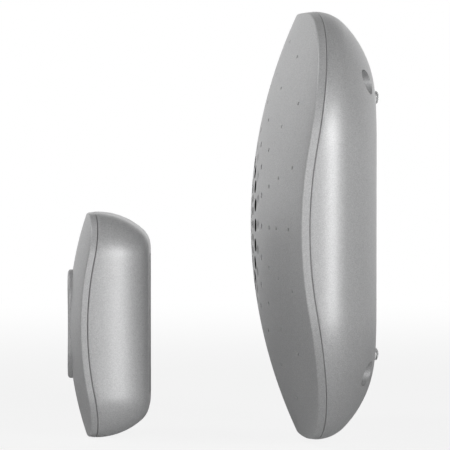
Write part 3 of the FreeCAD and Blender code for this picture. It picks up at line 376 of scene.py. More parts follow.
def painted(piece, finish):
    """Gives a piece one finish, in place of what its cutters left."""
    piece.data.materials.clear()
    piece.data.materials.append(finish)


def handed_over(piece, body, node):
    """Puts a finished piece on its body, in place of its plain solid."""
    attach(piece, body)
    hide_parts(node)


chime = Case(
    half_wide=70 * mm, half_tall=70 * mm, corner=43.5 * mm, apex=40.4 * mm,
    bend_wide=165 * mm, bend_tall=165 * mm, ahead=0, rise=-27 * mm)
chime.round_back(inset=29 * mm, deep=19.5 * mm, side_bend=13 * mm, back_bend=35.94 * mm)
fascia_wall = 2.5 * mm
chime_wall = 2.2 * mm
gap = 0.3 * mm
seam_gap = 0.22 * mm
rim_draft = 0.25 * mm
rim_bend = 0.45 * mm
rim_foot = 0.9 * mm
rim_break = 0.15 * mm
lip_inset = chime_wall + gap / 2
lip_wall = 1.2 * mm
lip_height = 2.4 * mm

front_rings = [chime.ring(rim_draft + across, down) for across, down in fillet(rim_bend, 5)]
face_rings = shrunk(front_rings[0], 40, lambda flat: chime.on_face(flat, 0))
lip_end = fascia_wall + lip_height
rear_edge = chime.ring(lip_inset + lip_wall, fascia_wall)
chime_fascia = loft("chime_fascia_skin", chime, [
    *reversed(face_rings),
    *front_rings,
    chime.ring(rim_draft * 0.4, fascia_wall - rim_foot),
    chime.ring(0, fascia_wall - rim_break),
    chime.ring(rim_break, fascia_wall),
    chime.ring(lip_inset, fascia_wall),
    chime.lip(lip_inset, lip_end, chime_wall, gap / 2),
    chime.ring(lip_inset + lip_wall, lip_end),
    rear_edge,
    *shrunk(rear_edge, 30, lambda flat: chime.on_face(flat, fascia_wall)),
], ends=((0, chime.apex, 0), (0, chime.apex - fascia_wall, 0)))


class Pattern(Web):
    """A Geometry Nodes tree with named inputs, which is laid on a piece as a modifier."""

    def __init__(self, name, **kinds):
        tree = bpy.data.node_groups.new(name, "GeometryNodeTree")
        tree.is_modifier = True
        super().__init__(tree)
        self.sockets = {
            socket: tree.interface.new_socket(socket, in_out="INPUT", socket_type="NodeSocket" + kind)
            for socket, kind in kinds.items()}
        tree.interface.new_socket("Geometry", in_out="OUTPUT", socket_type="NodeSocketGeometry")
        start = tree.nodes.new("NodeGroupInput")
        self.given = {socket: Wire(self, start.outputs[socket]) for socket in kinds}

    def ends_in(self, result):
        self.fill(self.tree.nodes.new("NodeGroupOutput"), {0: result})

    def lay_on(self, piece, values):
        modifier = piece.modifiers.new(self.tree.name, "NODES")
        modifier.node_group = self.tree
        for socket, value in values.items():
            modifier[self.sockets[socket].identifier] = value


holes = Pattern(
    "sound_hole_ring", Fascia="Geometry", Rays="Int", Ring="Float", Swell="Float", Hole="Float",
    Sunk="Float", Dimpled="Bool", Apex="Float", Dome="Float", Rise="Float", Inside="Material")
given = holes.given
circle = holes.node("GeometryNodeMeshCircle", {"Vertices": given["Rays"], "Radius": 1.0})
spot = holes.node("GeometryNodeInputPosition")
along_x = holes.part(spot, "X")
along_z = holes.part(spot, "Y")
ring_radius = given["Ring"] + given["Swell"] * (along_x * along_z * 2) ** 2
face_depth = given["Apex"] - given["Dome"] + holes.maths(
    "SQRT", given["Dome"] * given["Dome"] - ring_radius * ring_radius)
drill_long = 20 * mm
ball_radius = (given["Hole"] * given["Hole"] + given["Sunk"] * given["Sunk"]) / (given["Sunk"] * 2)
cutter_half = holes.node("GeometryNodeSwitch", {
    "Switch": given["Dimpled"], "False": drill_long / 2, "True": ball_radius}, input_type="FLOAT")
cutter_depth = face_depth - given["Sunk"] + cutter_half
cutter_spots = holes.node("GeometryNodeSetPosition", {
    "Geometry": circle,
    "Position": holes.node("ShaderNodeCombineXYZ", {
        "X": along_x * ring_radius, "Y": 0 - cutter_depth, "Z": along_z * ring_radius + given["Rise"]}),
})
drill = holes.node("GeometryNodeTransform", {
    "Geometry": holes.node("GeometryNodeMeshCylinder", {
        "Vertices": 24, "Radius": given["Hole"], "Depth": drill_long}),
    "Rotation": (math.pi / 2, 0, 0),
})
ball = holes.node("GeometryNodeMeshUVSphere", {"Segments": 48, "Rings": 48, "Radius": ball_radius})
cutter = holes.node("GeometryNodeSwitch", {
    "Switch": given["Dimpled"], "False": drill, "True": ball}, input_type="GEOMETRY")
cutters = holes.node("GeometryNodeRealizeInstances", {
    "Geometry": holes.node("GeometryNodeInstanceOnPoints", {"Points": cutter_spots, "Instance": cutter})})
holes.ends_in(holes.node("GeometryNodeMeshBoolean", {
    "Mesh 1": given["Fascia"],
    "Mesh 2": holes.node("GeometryNodeSetMaterial", {"Geometry": cutters, "Material": given["Inside"]}),
}, operation="DIFFERENCE", solver="EXACT"))


class Finish(Web):
    """A new material, whose patterns read the piece's own places."""

    def __init__(self, name):
        self.material = bpy.data.materials.new(name)
        self.material.use_nodes = True
        super().__init__(self.material.node_tree)
        self.where = self.node("ShaderNodeTexCoord", output="Object")

    def noise(self, scale, detail):
        return self.node(
            "ShaderNodeTexNoise", {"Vector": self.where, "Scale": scale, "Detail": detail}, output=0)

    def cells(self, scale):
        """A value that changes from cell to cell."""
        colours = self.node("ShaderNodeTexVoronoi", {"Vector": self.where, "Scale": scale}, output="Color")
        return self.node("ShaderNodeSeparateColor", {"Color": colours}, output="Red")

    def blend(self, share, first, second):
        """Passes from one colour to another."""
        first, second = [
            colour if isinstance(colour, Wire) else (*colour, 1) for colour in (first, second)]
        return self.node("ShaderNodeMix", {0: share, 6: first, 7: second}, output=2, data_type="RGBA")

    def bump(self, height, strength, distance):
        return self.node("ShaderNodeBump", {"Height": height, "Strength": strength, "Distance": distance})

    def made(self, sockets):
        self.fill(self.tree.nodes["Principled BSDF"], sockets)
        return self.material


def silver_paint(name):
    """Satin silver metallic paint over moulded plastic, with fine flake and a faint orange peel."""
    paint = Finish(name)
    flake, glint = paint.noise(3900.0, 2.0), paint.cells(4600.0)
    peel, cloud = paint.noise(260.0, 3.0), paint.noise(26.0, 2.0)
    tone = paint.maths("MAXIMUM", 0.0, flake * 0.55 + glint * 0.35 + cloud * 0.1)
    return paint.made({
        "Base Color": paint.blend(tone, (0.38, 0.382, 0.386), (0.79, 0.792, 0.796)),
        "Metallic": 0.5,
        "Roughness": 0.43 + glint * 0.08 + peel * 0.04,
        "Normal": paint.bump(flake * 0.6 + peel * 0.4, 0.5, 0.05 * mm),
    })


def moulded(name, colour, roughness=0.5, grain=900.0, shade=0.8):
    """Bare moulded plastic or rubber with a fine moulding grain and a faint cloudiness."""
    plastic = Finish(name)
    pits, cloud = plastic.noise(grain, 3.0), plastic.noise(60.0, 2.0)
    deep = [shade * part for part in colour]
    return plastic.made({
        "Base Color": plastic.blend(pits * 0.6 + cloud * 0.4, deep, colour),
        "Roughness": roughness + pits * 0.12 - cloud * 0.06,
        "Normal": plastic.bump(pits, 0.5, 0.03 * mm),
    })


fascia_paint = silver_paint("fascia_silver")
# The walls of the through holes get a near-black finish: painted shade inside the holes, standing in for
# the shade that falls there.
hole_wall_shade = moulded("bare_fascia_plastic", (0.022, 0.022, 0.023), 0.6)
through = 6 * mm
sound_hole_rings = [
    {"Ring": 8.2 * mm, "Hole": 0.75 * mm, "Sunk": through, "Inside": hole_wall_shade},
    {"Ring": 14.3 * mm, "Hole": 1.4 * mm, "Sunk": through, "Inside": hole_wall_shade},
    {"Ring": 21.4 * mm, "Hole": 2.2 * mm, "Sunk": through, "Inside": hole_wall_shade},
    {"Ring": 27.3 * mm, "Hole": 1.85 * mm, "Sunk": 0.45 * mm, "Dimpled": True},
    {"Ring": 32.8 * mm, "Hole": 0.95 * mm, "Sunk": 0.7 * mm},
    {"Ring": 42.6 * mm, "Hole": 0.7 * mm, "Sunk": 0.6 * mm},
    {"Ring": 50.0 * mm, "Hole": 0.55 * mm, "Sunk": 0.5 * mm, "Swell": 6.2 * mm},
    {"Ring": 60.5 * mm, "Hole": 0.55 * mm, "Sunk": 0.5 * mm, "Swell": 8.5 * mm},
]
painted(chime_fascia, fascia_paint)
for ring_sizes in sound_hole_rings:
    holes.lay_on(chime_fascia, {
        "Rays": 20, "Swell": 0.0, "Dimpled": False, "Apex": chime.apex, "Dome": chime.bend_wide,
        "Rise": chime.rise, "Inside": fascia_paint, **ring_sizes,
    })
settle(chime_fascia)
handed_over(chime_fascia, "set", "chime_fascia")


# Chime housing
# The rounded back half of the chime, moulded and painted like the fascia, with a stepped edge
# that leaves a fine shadow line. It carries the wells for the case screws, the battery bay, the
# keyholes that hang it on the wall, and the posts of the circuit board.


def prism(name, unit, half_wide, half_tall, corner, near, far, x=0.0, z=0.0, edge=0.0):
    """A rounded block from one depth to another, about a spot on its unit, with softened edges."""
    middles, ways = rounded_ring(half_wide, half_tall, corner)
    stops = [(0.0, near), (0.0, far)]
    if edge:
        bends = fillet(edge, 4)
        stops = [(across, near + down) for across, down in bends]
        stops += [(across, far - down) for across, down in reversed(bends)]
    return loft(name, unit, [
        at_depth(middles + (corner - across) * ways + np.array([x, z]), depth)
        for across, depth in stops])


def rod(name, unit, radius, near, far, x=0.0, z=0.0):
    return prism(name, unit, radius, radius, radius * 0.999, near, far, x, z)


def shape(piece, other, operation):
    """Joins another solid to a piece, takes it away or keeps what both share."""
    change = piece.modifiers.new(operation.lower(), "BOOLEAN")
    change.object = other
    change.operation = operation
    change.solver = "EXACT"
    settle(piece)
    bpy.data.objects.remove(other)


def four(across, up, middle=0.0):
    """Four places, one in each quarter."""
    return [(x * across, middle + z * up) for x in (-1, 1) for z in (-1, 1)]


seam_below = fascia_wall + seam_gap
seam_land = 0.5 * mm
edge_bend = 0.32 * mm
edge_middle = 0.3 * edge_bend
outer_wall = chime.wall(0, seam_below + edge_bend, 14, 14)
inner_wall = chime.wall(chime_wall, fascia_wall, 10, 10)
chime_housing = loft("chime_housing_skin", chime, [
    *reversed(shrunk(inner_wall[-1], 6)),
    *reversed(inner_wall),
    chime.ring(seam_land, fascia_wall),
    chime.ring(seam_land, seam_below),
    chime.ring(edge_bend, seam_below),
    chime.ring(edge_middle, seam_below + edge_middle),
    *outer_wall,
    *shrunk(outer_wall[-1], 6),
])
well_across = 47 * mm
well_places = four(well_across, well_across)
well_radius = 4 * mm
well_wall = 1.6 * mm
well_deep = 13.2 * mm
well_floor = well_deep + well_wall
screw_way = 1.7 * mm
screw_way_end = 20 * mm
inner_mid = chime.wall(chime_wall / 2, 0, 10, 10)
for x, z in well_places:
    tube = rod("well_tube", chime, well_radius + well_wall, 0, well_floor, x, z)
    clip = loft("well_clip", chime, [
        *reversed(shrunk(inner_mid[0], 3)), *inner_mid, *shrunk(inner_mid[-1], 3)])
    shape(tube, clip, "INTERSECT")
    shape(chime_housing, tube, "UNION")
bay_middle = -13 * mm
bay_half_wide = 27.55 * mm
bay_half_tall = 23.1 * mm
bay_corner = 1 * mm
bay_wall = 1.8 * mm
bay_floor = 17.1 * mm
cover_ledge = 2 * mm
cover_corner = 3 * mm
cover_thick = 1.8 * mm
cover_half_wide = bay_half_wide + cover_ledge
cover_half_tall = bay_half_tall + cover_ledge
shape(chime_housing, prism(
    "bay_box", chime, bay_half_wide + bay_wall, bay_half_tall + bay_wall, cover_corner,
    chime_wall / 2, bay_floor + bay_wall, 0, bay_middle), "UNION")
board_middle = 33 * mm
post_across = 34 * mm
post_rise = 14 * mm
post_radius = 3 * mm
post_foot = 2 * mm
post_top = 9 * mm
for x, z in four(post_across, post_rise, board_middle):
    shape(chime_housing, rod("board_post", chime, post_radius, post_foot, post_top, x, z), "UNION")
away = -5 * mm
back_cut = 3 * mm
slider_place = (-9 * mm, 17.5 * mm)
tune_place = (9 * mm, 17.5 * mm)
tune_hole = 2.8 * mm
window_half_wide = 3.8 * mm
window_half_tall = 1.9 * mm
window_corner = 0.4 * mm
openings = [
    prism("bay", chime, bay_half_wide, bay_half_tall, bay_corner, away, bay_floor, 0, bay_middle),
    prism("cover_seat", chime, cover_half_wide + gap, cover_half_tall + gap, cover_corner + gap,
          away, cover_thick, 0, bay_middle),
    prism("slider_window", chime, window_half_wide, window_half_tall, window_corner,
          away, back_cut, *slider_place),
    rod("tune_hole", chime, tune_hole, away, back_cut, *tune_place),
]
for x, z in well_places:
    openings.append(rod("well", chime, well_radius, away, well_deep, x, z))
    openings.append(rod("well_hole", chime, screw_way, away, screw_way_end, x, z))
keyhole_across = 25 * mm
keyhole_rise = 27 * mm
keyhole_entry = 4.2 * mm
keyhole_neck = 2.2 * mm
keyhole_neck_corner = 2.199 * mm
keyhole_run = 6.5 * mm
for x in (-keyhole_across, keyhole_across):
    openings.append(rod("keyhole_entry", chime, keyhole_entry, away, back_cut, x, keyhole_rise))
    openings.append(prism(
        "keyhole_neck", chime, keyhole_neck, keyhole_run / 2 + keyhole_neck,
        keyhole_neck_corner, away, back_cut, x, keyhole_rise + keyhole_run / 2))
foot_across = 27 * mm
foot_rise = 42 * mm
foot_places = four(foot_across, foot_rise)
foot_half = 2.1 * mm
foot_ease = 0.1 * mm
foot_seat_deep = 0.4 * mm
for x, z in foot_places:
    openings.append(rod("foot_seat", chime, foot_half + foot_ease, away, foot_seat_deep, x, z))
for opening in openings:
    shape(chime_housing, opening, "DIFFERENCE")
housing_paint = silver_paint("housing_silver")
painted(chime_housing, housing_paint)
handed_over(chime_housing, "set", "chime_housing")


# Push fascia
# The domed front of the push, painted like the chime, with the oblong opening that guides the
# button. A skirt runs in round the opening, and a lip inside the rim locates it in the housing.


push = Case(
    half_wide=23.5 * mm, half_tall=37.3 * mm, corner=14.6 * mm, apex=27.3 * mm,
    bend_wide=57.5 * mm, bend_tall=116 * mm, ahead=74.1 * mm, rise=-60.8 * mm)
push.round_back(inset=11.8 * mm, deep=18 * mm, side_bend=23.06 * mm, back_bend=8 * mm)
push_fascia_wall = 2.1 * mm
push_wall = 1.8 * mm
push_rim_draft = 0.2 * mm
push_rim_bend = 0.4 * mm
button_half_wide = 10.2 * mm
button_half_tall = 18.2 * mm
button_corner = 9.9 * mm
opening_middles, opening_ways = rounded_ring(button_half_wide, button_half_tall, button_corner)


def round_opening(out):
    """The button's outline, let out by a distance."""
    return opening_middles + (button_corner + out) * opening_ways


def opening_level(out, forward):
    return at_depth(round_opening(out), forward)


def between(first, second, count, below):
    """Rings that pass from one outline to another over the domed face."""
    return [
        push.on_face(first[:, (0, 2)] * (1 - step / count) + second[:, (0, 2)] * step / count, below)
        for step in range(1, count)
    ]


opening_edge = 0.35 * mm
skirt_wall = 1.2 * mm
skirt_end = 23.0 * mm
push_front = [
    push.ring(push_rim_draft + across, down) for across, down in fillet(push_rim_bend, 5)]
opening_rim = [
    push.on_face(round_opening(gap + across), down) for across, down in fillet(opening_edge, 4)]
push_lip_inset = push_wall + gap / 2
push_lip_end = push_fascia_wall + lip_height
skirt_top = push.on_face(round_opening(gap + skirt_wall), push_fascia_wall)
lip_foot = push.ring(push_lip_inset + lip_wall, push_fascia_wall)
push_fascia = loft("push_fascia_skin", push, [
    *push_front,
    push.ring(0, push_fascia_wall - rim_break),
    push.ring(rim_break, push_fascia_wall),
    push.ring(push_lip_inset, push_fascia_wall),
    push.lip(push_lip_inset, push_lip_end, push_wall, gap / 2),
    push.ring(push_lip_inset + lip_wall, push_lip_end),
    lip_foot,
    *between(lip_foot, skirt_top, 6, push_fascia_wall),
    skirt_top,
    opening_level(gap + skirt_wall, skirt_end),
    opening_level(gap, skirt_end),
    *reversed(opening_rim),
    *between(opening_rim[0], push_front[0], 12, 0),
], joined=True)
painted(push_fascia, fascia_paint)
settle(push_fascia)
handed_over(push_fascia, "set", "push_fascia")


# Push housing
# The rounded back half of the push. Its flat back is open for the plate that goes on the wall,
# which leaves way to the cell, and two posts inside carry the circuit board.


push_seam = push_fascia_wall + seam_gap
push_outer = push.wall(0, push_seam + edge_bend, 12, 14)
push_inner = push.wall(push_wall, push_fascia_wall, 10, 10)
push_housing = loft("push_housing_skin", push, [
    *reversed(shrunk(push_inner[-1], 6)),
    *reversed(push_inner),
    push.ring(push_wall / 2, push_fascia_wall),
    push.ring(push_wall / 2, push_seam),
    push.ring(edge_bend, push_seam),
    push.ring(edge_middle, push_seam + edge_middle),
    *push_outer,
    *shrunk(push_outer[-1], 6),
])
plate_half_wide = 11.3 * mm
plate_half_tall = 23.2 * mm
plate_corner = 2.4 * mm
plate_thick = 1.8 * mm
plate_ledge = 1.1 * mm
frame_wall = 2 * mm
frame_corner = 3.4 * mm
frame_top = 3.6 * mm
frame_cut = 4.6 * mm
push_post_rise = 23.6 * mm
push_post_radius = 2.5 * mm
push_post_top = 12.8 * mm
shape(push_housing, prism(
    "plate_frame", push, plate_half_wide + frame_wall, plate_half_tall + frame_wall,
    frame_corner, push_wall / 2, frame_top), "UNION")
for z in (-push_post_rise, push_post_rise):
    shape(push_housing, rod(
        "push_post", push, push_post_radius, push_wall / 2, push_post_top, 0, z), "UNION")
shape(push_housing, prism(
    "plate_seat", push, plate_half_wide + gap, plate_half_tall + gap, plate_corner, away, plate_thick),
    "DIFFERENCE")
shape(push_housing, prism(
    "plate_opening", push, plate_half_wide - plate_ledge, plate_half_tall - plate_ledge, plate_corner,
    away, frame_cut), "DIFFERENCE")
painted(push_housing, housing_paint)
handed_over(push_housing, "set", "push_housing")


# Push button
# The oblong button, painted like its case. Its face is dished a little along its height for the
# finger, its edge is rounded, and a flange behind the fascia keeps it in.


button_face = 27.5 * mm
button_dish = 0.3 * mm
button_edge = 0.9 * mm
flange_top = 22.9 * mm
flange_back = 21.7 * mm
flange_out = 1.4 * mm



def dished(flat, below):
    """Points over a flat outline, at a depth below the button's dished face."""
    rise = np.clip(flat[:, 1] / (button_half_tall - button_edge), -1, 1)
    return at_depth(flat, button_face - button_dish * (1 - rise ** 2) - below)


button_rim = [dished(round_opening(-across), down) for across, down in fillet(button_edge, 8)]
flange_rear = opening_level(flange_out, flange_back)
push_button = loft("push_button_cap", push, [
    *reversed(shrunk(button_rim[0], 16, lambda flat: dished(flat, 0))),
    *button_rim,
    opening_level(0, flange_top),
    opening_level(flange_out, flange_top),
    flange_rear,
    *shrunk(flange_rear, 4),
], ends=((0, button_face - button_dish, 0), (0, flange_back, 0)))
painted(push_button, silver_paint("button_silver"))
settle(push_button)
handed_over(push_button, "button", "push_button")


# Rubber feet
# Four clear domed bumpers, moulded in soft rubber and stuck in shallow seats on the chime's back,
# which keep it off the wall.


def turned_about(name, unit, outline, steps=40):
    """A closed form turned from radii and depths about a line that runs straight back."""
    form = bmesh.new()
    rows = []
    for radius, depth in outline:
        turns = [step / steps * 2 * math.pi for step in range(steps if radius > 0 else 1)]
        spots = np.array([(radius * math.cos(turn), depth, radius * math.sin(turn)) for turn in turns])
        rows.append([form.verts.new(spot) for spot in unit.stand(spots)])
    for near, far in zip(rows, rows[1:]):
        for item in range(steps):
            after = (item + 1) % steps
            corners = [near[item % len(near)], near[after % len(near)],
                       far[after % len(far)], far[item % len(far)]]
            form.faces.new(dict.fromkeys(corners))
    return skin(name, form)


set_out = Pattern(
    "set_out", Spots="Geometry", Piece="Object", Finish="Material", Seed="Int", Turned="Float")
given = set_out.given
any_turn = set_out.node("FunctionNodeRandomValue", {
    "Min": 0.0, "Max": given["Turned"], "Seed": given["Seed"]}, output=1, data_type="FLOAT")
copies = set_out.node("GeometryNodeInstanceOnPoints", {
    "Points": given["Spots"],
    "Instance": set_out.node("GeometryNodeObjectInfo", {"Object": given["Piece"]}, output="Geometry"),
    "Rotation": set_out.node("ShaderNodeCombineXYZ", {"Y": any_turn}),
})
set_out.ends_in(set_out.node("GeometryNodeSetMaterial", {
    "Geometry": set_out.node("GeometryNodeRealizeInstances", {"Geometry": copies}),
    "Material": given["Finish"],
}))


def repeated(name, unit, piece, spots, finish, seed=1, turned=0.0):
    """Sets a piece, made about its unit's middle, out on spots as one mesh."""
    piece.data.transform(Matrix.Translation((0, 0, -unit.rise)))
    mesh = bpy.data.meshes.new(name)
    mesh.from_pydata([(x, 0, z + unit.rise) for x, z in spots], [], [])
    pieces = bpy.data.objects.new(name, mesh)
    bpy.context.collection.objects.link(pieces)
    set_out.lay_on(pieces, {"Piece": piece, "Finish": finish, "Seed": seed, "Turned": turned})
    settle(pieces)
    bpy.data.objects.remove(piece)
    return pieces


rubber = Finish("clear_rubber")
haze = rubber.noise(1500.0, 2.0)
clear_rubber = rubber.made({
    "Base Color": rubber.blend(haze, (0.86, 0.87, 0.87), (0.95, 0.95, 0.95)),
    "Roughness": 0.04 + haze * 0.08,
    "Transmission Weight": 0.85,
    "IOR": 1.49,
    "Normal": rubber.bump(haze, 0.2, 0.02 * mm),
})
foot_proud = 1.3 * mm
foot_side = 1.05 * mm
foot_sunk = 0.38 * mm
foot_break = 0.1 * mm
foot_steps = 12
foot_outline = [(0, -foot_proud)]
for step in range(1, foot_steps + 1):
    turn = step / foot_steps * math.pi / 2
    foot_outline.append((foot_half * math.sin(turn), foot_side - foot_proud - foot_side * math.cos(turn)))
foot_outline += [
    (foot_half, foot_sunk - foot_break), (foot_half - foot_break, foot_sunk), (0, foot_sunk)]
handed_over(
    repeated("rubber_bumpers", chime, turned_about("bumper", chime, foot_outline),
             foot_places, clear_rubber),
    "set", "rubber_feet")


# Case screws
# Four pan-head screws of zinc-plated steel with a cross recess, driven from behind through the
# wells of the housing into the bosses of the fascia.


def plated(name, colour, roughness=0.3, metallic=1.0, streaks=500.0):
    """Plated or bare metal, with a fine drawn grain and a faint unevenness of its gloss."""
    metal = Finish(name)
    grain, cloud = metal.noise(streaks, 4.0), metal.noise(120.0, 2.0)
    dull = [0.8 * part for part in colour]
    return metal.made({
        "Base Color": metal.blend(cloud * 0.7 + grain * 0.3, dull, colour),
        "Metallic": metallic,
        "Roughness": roughness + grain * 0.14,
        "Normal": metal.bump(grain, 0.35, 0.02 * mm),
    })


def cross_screw(name, unit, shank, head, head_deep, seat, reach):
    """A pan-head screw with a cross recess, whose head stands behind its seat."""
    top = seat - head_deep
    head_edge = 0.1 * mm
    head_steps = 8
    flat_share = 0.62
    round_share = 0.7
    outline = [(0, top)]
    for step in range(head_steps + 1):
        turn = step / head_steps * math.pi / 2
        outline.append((
            head * (flat_share + (1 - flat_share) * math.sin(turn)),
            top + head_deep * (1 - math.cos(turn)) * round_share))
    outline += [(head, seat - head_edge), (head - head_edge, seat), (shank, seat)]
    pitch = 0.9 * mm
    core = 0.8 * shank
    plain_shank = 0.8 * mm
    spot = seat + plain_shank
    while reach - spot > 1.6 * pitch:
        outline += [(core, spot), (shank, spot + 0.35 * pitch), (shank, spot + 0.5 * pitch)]
        spot += pitch
    outline += [(core, spot), (shank * 0.25, reach), (0, reach)]
    piece = turned_about(name, unit, outline, 32)
    arm_long, arm_half, arm_corner, arm_deep = head * 0.56, head * 0.13, head * 0.1, head_deep * 0.62
    for half_wide, half_tall in ((arm_long, arm_half), (arm_half, arm_long)):
        shape(piece, prism(
            "recess", unit, half_wide, half_tall, arm_corner, top - 1 * mm, top + arm_deep),
            "DIFFERENCE")
    return piece


zinc = plated("zinc_plate", (0.60, 0.60, 0.585), 0.24)
case_screw = cross_screw(
    "case_screw", chime, shank=1.5 * mm, head=2.8 * mm, head_deep=2.2 * mm, seat=well_deep,
    reach=21.7 * mm)
handed_over(
    repeated("case_screw_set", chime, case_screw, well_places, zinc, seed=3, turned=1.5),
    "set", "chime_case_screws")


# Battery cover
# A plate of the housing's plastic, painted with it, that closes the battery bay. A finger dip at
# its top edge lifts it off, and pegs and ribs inside hold it and the cells.


cell_long = 50.5 * mm
cover_edge = 0.4 * mm
peg_half_wide = 2 * mm
peg_inset = 0.75 * mm
peg_edge = 0.2 * mm
peg_end = 4.4 * mm
rib_half = 0.6 * mm
rib_corner = 0.3 * mm
rib_inset = 1 * mm
rib_end = 2.1 * mm
rib_across = 12.6 * mm
battery_cover = prism(
    "battery_cover_plate", chime, cover_half_wide, cover_half_tall, cover_corner, 0, cover_thick,
    0, bay_middle, edge=cover_edge)
for x, z in four(cell_long / 3, bay_half_tall - peg_inset, bay_middle):
    shape(battery_cover, prism(
        "cover_peg", chime, peg_half_wide, rib_half, rib_corner, cover_thick / 2, peg_end,
        x, z, edge=peg_edge), "UNION")
for x in (-rib_across, rib_across):
    shape(battery_cover, prism(
        "cover_rib", chime, rib_half, bay_half_tall - rib_inset, rib_corner, cover_thick / 2, rib_end,
        x, bay_middle), "UNION")
dip_bend = 24 * mm
dip_deep = 1 * mm
dip_spread = 0.45
dip_steps = 12
dip_past = 1 * mm
dip_clear = -6 * mm
dip_outline = [(0, dip_deep)]
for step in range(1, dip_steps + 1):
    turn = step / dip_steps * dip_spread
    dip_outline.append((dip_bend * math.sin(turn), dip_deep - dip_bend * (1 - math.cos(turn))))
dip_outline += [(dip_bend * math.sin(dip_spread), dip_clear), (0, dip_clear)]
finger_dip = turned_about("finger_dip", chime, dip_outline, 64)
finger_dip.data.transform(Matrix.Translation((0, 0, bay_middle + cover_half_tall + dip_past)))
shape(battery_cover, finger_dip, "DIFFERENCE")
dip_crease = math.radians(9)
battery_cover.data.set_sharp_from_angle(angle=dip_crease)
painted(battery_cover, housing_paint)
handed_over(battery_cover, "battery_cover", "chime_battery_cover")


# Cells and their contacts
# Three alkaline cells lie side by side in the bay, each in a plain shrunk film jacket with bare
# steel ends, between pressed contacts of nickel-plated spring steel.


def cell_film(name, half_long):
    """A cell's jacket: dark film with a plain pale band, that gives way to steel at both ends."""
    bare_end = 1.6 * mm
    band_middle = 0.72 * half_long
    band_half = 0.035 * half_long
    film = Finish(name)
    along = film.maths("ABSOLUTE", film.part(film.where, "X"))
    steel = film.maths("GREATER_THAN", along, half_long - bare_end)
    band = film.maths("LESS_THAN", film.maths("ABSOLUTE", along - band_middle), band_half)
    wrinkle = film.noise(320.0, 3.0)
    jacket = film.blend(band, (0.035, 0.045, 0.07), (0.5, 0.5, 0.5))
    return film.made({
        "Base Color": film.blend(steel, jacket, (0.62, 0.62, 0.6)),
        "Metallic": steel,
        "Roughness": 0.22 + wrinkle * 0.12 + steel * 0.1,
        "Normal": film.bump(wrinkle, 0.3, 0.05 * mm),
    })


def bound(node, finish):
    """Gives the plain solid of a piece its own finish."""
    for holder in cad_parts[node].material_slots:
        holder.material = finish


bound("aa_cells", cell_film("cell_jacket", cell_long / 2))
nickel = plated("nickel_plate", (0.72, 0.71, 0.68), 0.16)
bound("battery_contacts", nickel)


# Grille cloth
# A disc of fine black woven cloth, stretched flat and glued behind the sound holes, which keeps
# dust off the loudspeaker.


cloth_radius = 29.1 * mm
cloth_near = 34.05 * mm
cloth_far = 34.35 * mm
weave = Finish("black_weave")
thread_pitch = 0.5 * mm
warp, weft = [
    weave.maths("SINE", weave.part(weave.where, axis) * (2 * math.pi / thread_pitch)) for axis in "XZ"]
thread = weave.maths("MAXIMUM", warp * 0.5 + 0.5, weft * 0.5 + 0.5)
fuzz = weave.noise(3000.0, 2.0)
black_weave = weave.made({
    "Base Color": weave.blend(thread * (fuzz * 0.5 + 0.5), (0.006, 0.006, 0.006), (0.03, 0.03, 0.03)),
    "Roughness": 0.85 + fuzz * 0.1,
    "Sheen Weight": 0.15,
    "Normal": weave.bump(thread, 0.6, 0.08 * mm),
})
grille_cloth = turned_about("grille_disc", chime, [
    (0, cloth_near), *[(cloth_radius * step / 8, cloth_near) for step in range(1, 9)],
    *[(cloth_radius * step / 8, cloth_far) for step in range(8, 0, -1)], (0, cloth_far)], 72)
painted(grille_cloth, black_weave)
settle(grille_cloth)
handed_over(grille_cloth, "set", "grille_cloth")


# Loudspeaker
# A gasket of closed-cell foam, a pressed and coated steel frame, a sintered magnet in its pot, and
# a cone and dust cap formed from film. Four moulded clamps and their screws hold it to the fascia.


bound("speaker_gasket", moulded("closed_cell_foam", (0.03, 0.03, 0.03), 0.85, 2200.0, 0.5))
bound("speaker_frame", moulded("black_coated_steel", (0.035, 0.035, 0.037), 0.32, 1400.0))
bound("speaker_magnet", plated("sintered_magnet", (0.17, 0.17, 0.175), 0.45, 0.8, 1600.0))
cone_film = moulded("formed_film", (0.10, 0.10, 0.108), 0.42, 700.0)
for node in ("speaker_cone", "speaker_dust_cap"):
    bound(node, cone_film)
black_plastic = moulded("black_plastic", (0.035, 0.035, 0.036), 0.48)
bound("speaker_clamps", black_plastic)
bound("speaker_screws", zinc)


# Circuit board of the chime
# Glass laminate under green solder resist, screwed to four posts of the housing. It carries the
# sound chip, the radio module under its tinned can, a capacitor in its sleeve and the aerial coil.


def green_resist(name, x_shift=0.0, z_shift=0.0):
    """Solder resist with copper tracks that show through it and rows of tinned pads."""
    track_pitch = 1.4 * mm
    pad_pitch = 2.54 * mm
    pad_radius = 0.34 * mm
    resist = Finish(name)
    x = resist.part(resist.where, "X") + x_shift
    z = resist.part(resist.where, "Z") + z_shift
    run = resist.cells(70.0)
    upright = resist.maths("GREATER_THAN", run, 0.5)
    along = x * upright + z * (1 - upright)
    track = resist.maths("GREATER_THAN", resist.maths("SINE", along * (2 * math.pi / track_pitch)), 0.25)
    pad_x = resist.maths("ABSOLUTE", resist.maths("PINGPONG", x, pad_pitch / 2) - pad_pitch / 4)
    pad_z = resist.maths("ABSOLUTE", resist.maths("PINGPONG", z, pad_pitch) - pad_pitch / 2)
    dot = resist.maths("LESS_THAN", (pad_x * pad_x + pad_z * pad_z) ** 0.5, pad_radius)
    pads = dot * resist.maths("GREATER_THAN", run, 0.62)
    fibre = resist.noise(1800.0, 2.0)
    green = resist.blend(track * 0.75 + fibre * 0.2, (0.008, 0.075, 0.03), (0.02, 0.20, 0.08))
    return resist.made({
        "Base Color": resist.blend(pads, green, (0.66, 0.65, 0.62)),
        "Metallic": pads,
        "Roughness": 0.28 + fibre * 0.08,
        "Normal": resist.bump(track * 0.6 + pads, 0.5, 0.04 * mm),
    })


bound("chime_circuit_board", green_resist("chime_resist"))
bound("chime_board_screws", zinc)


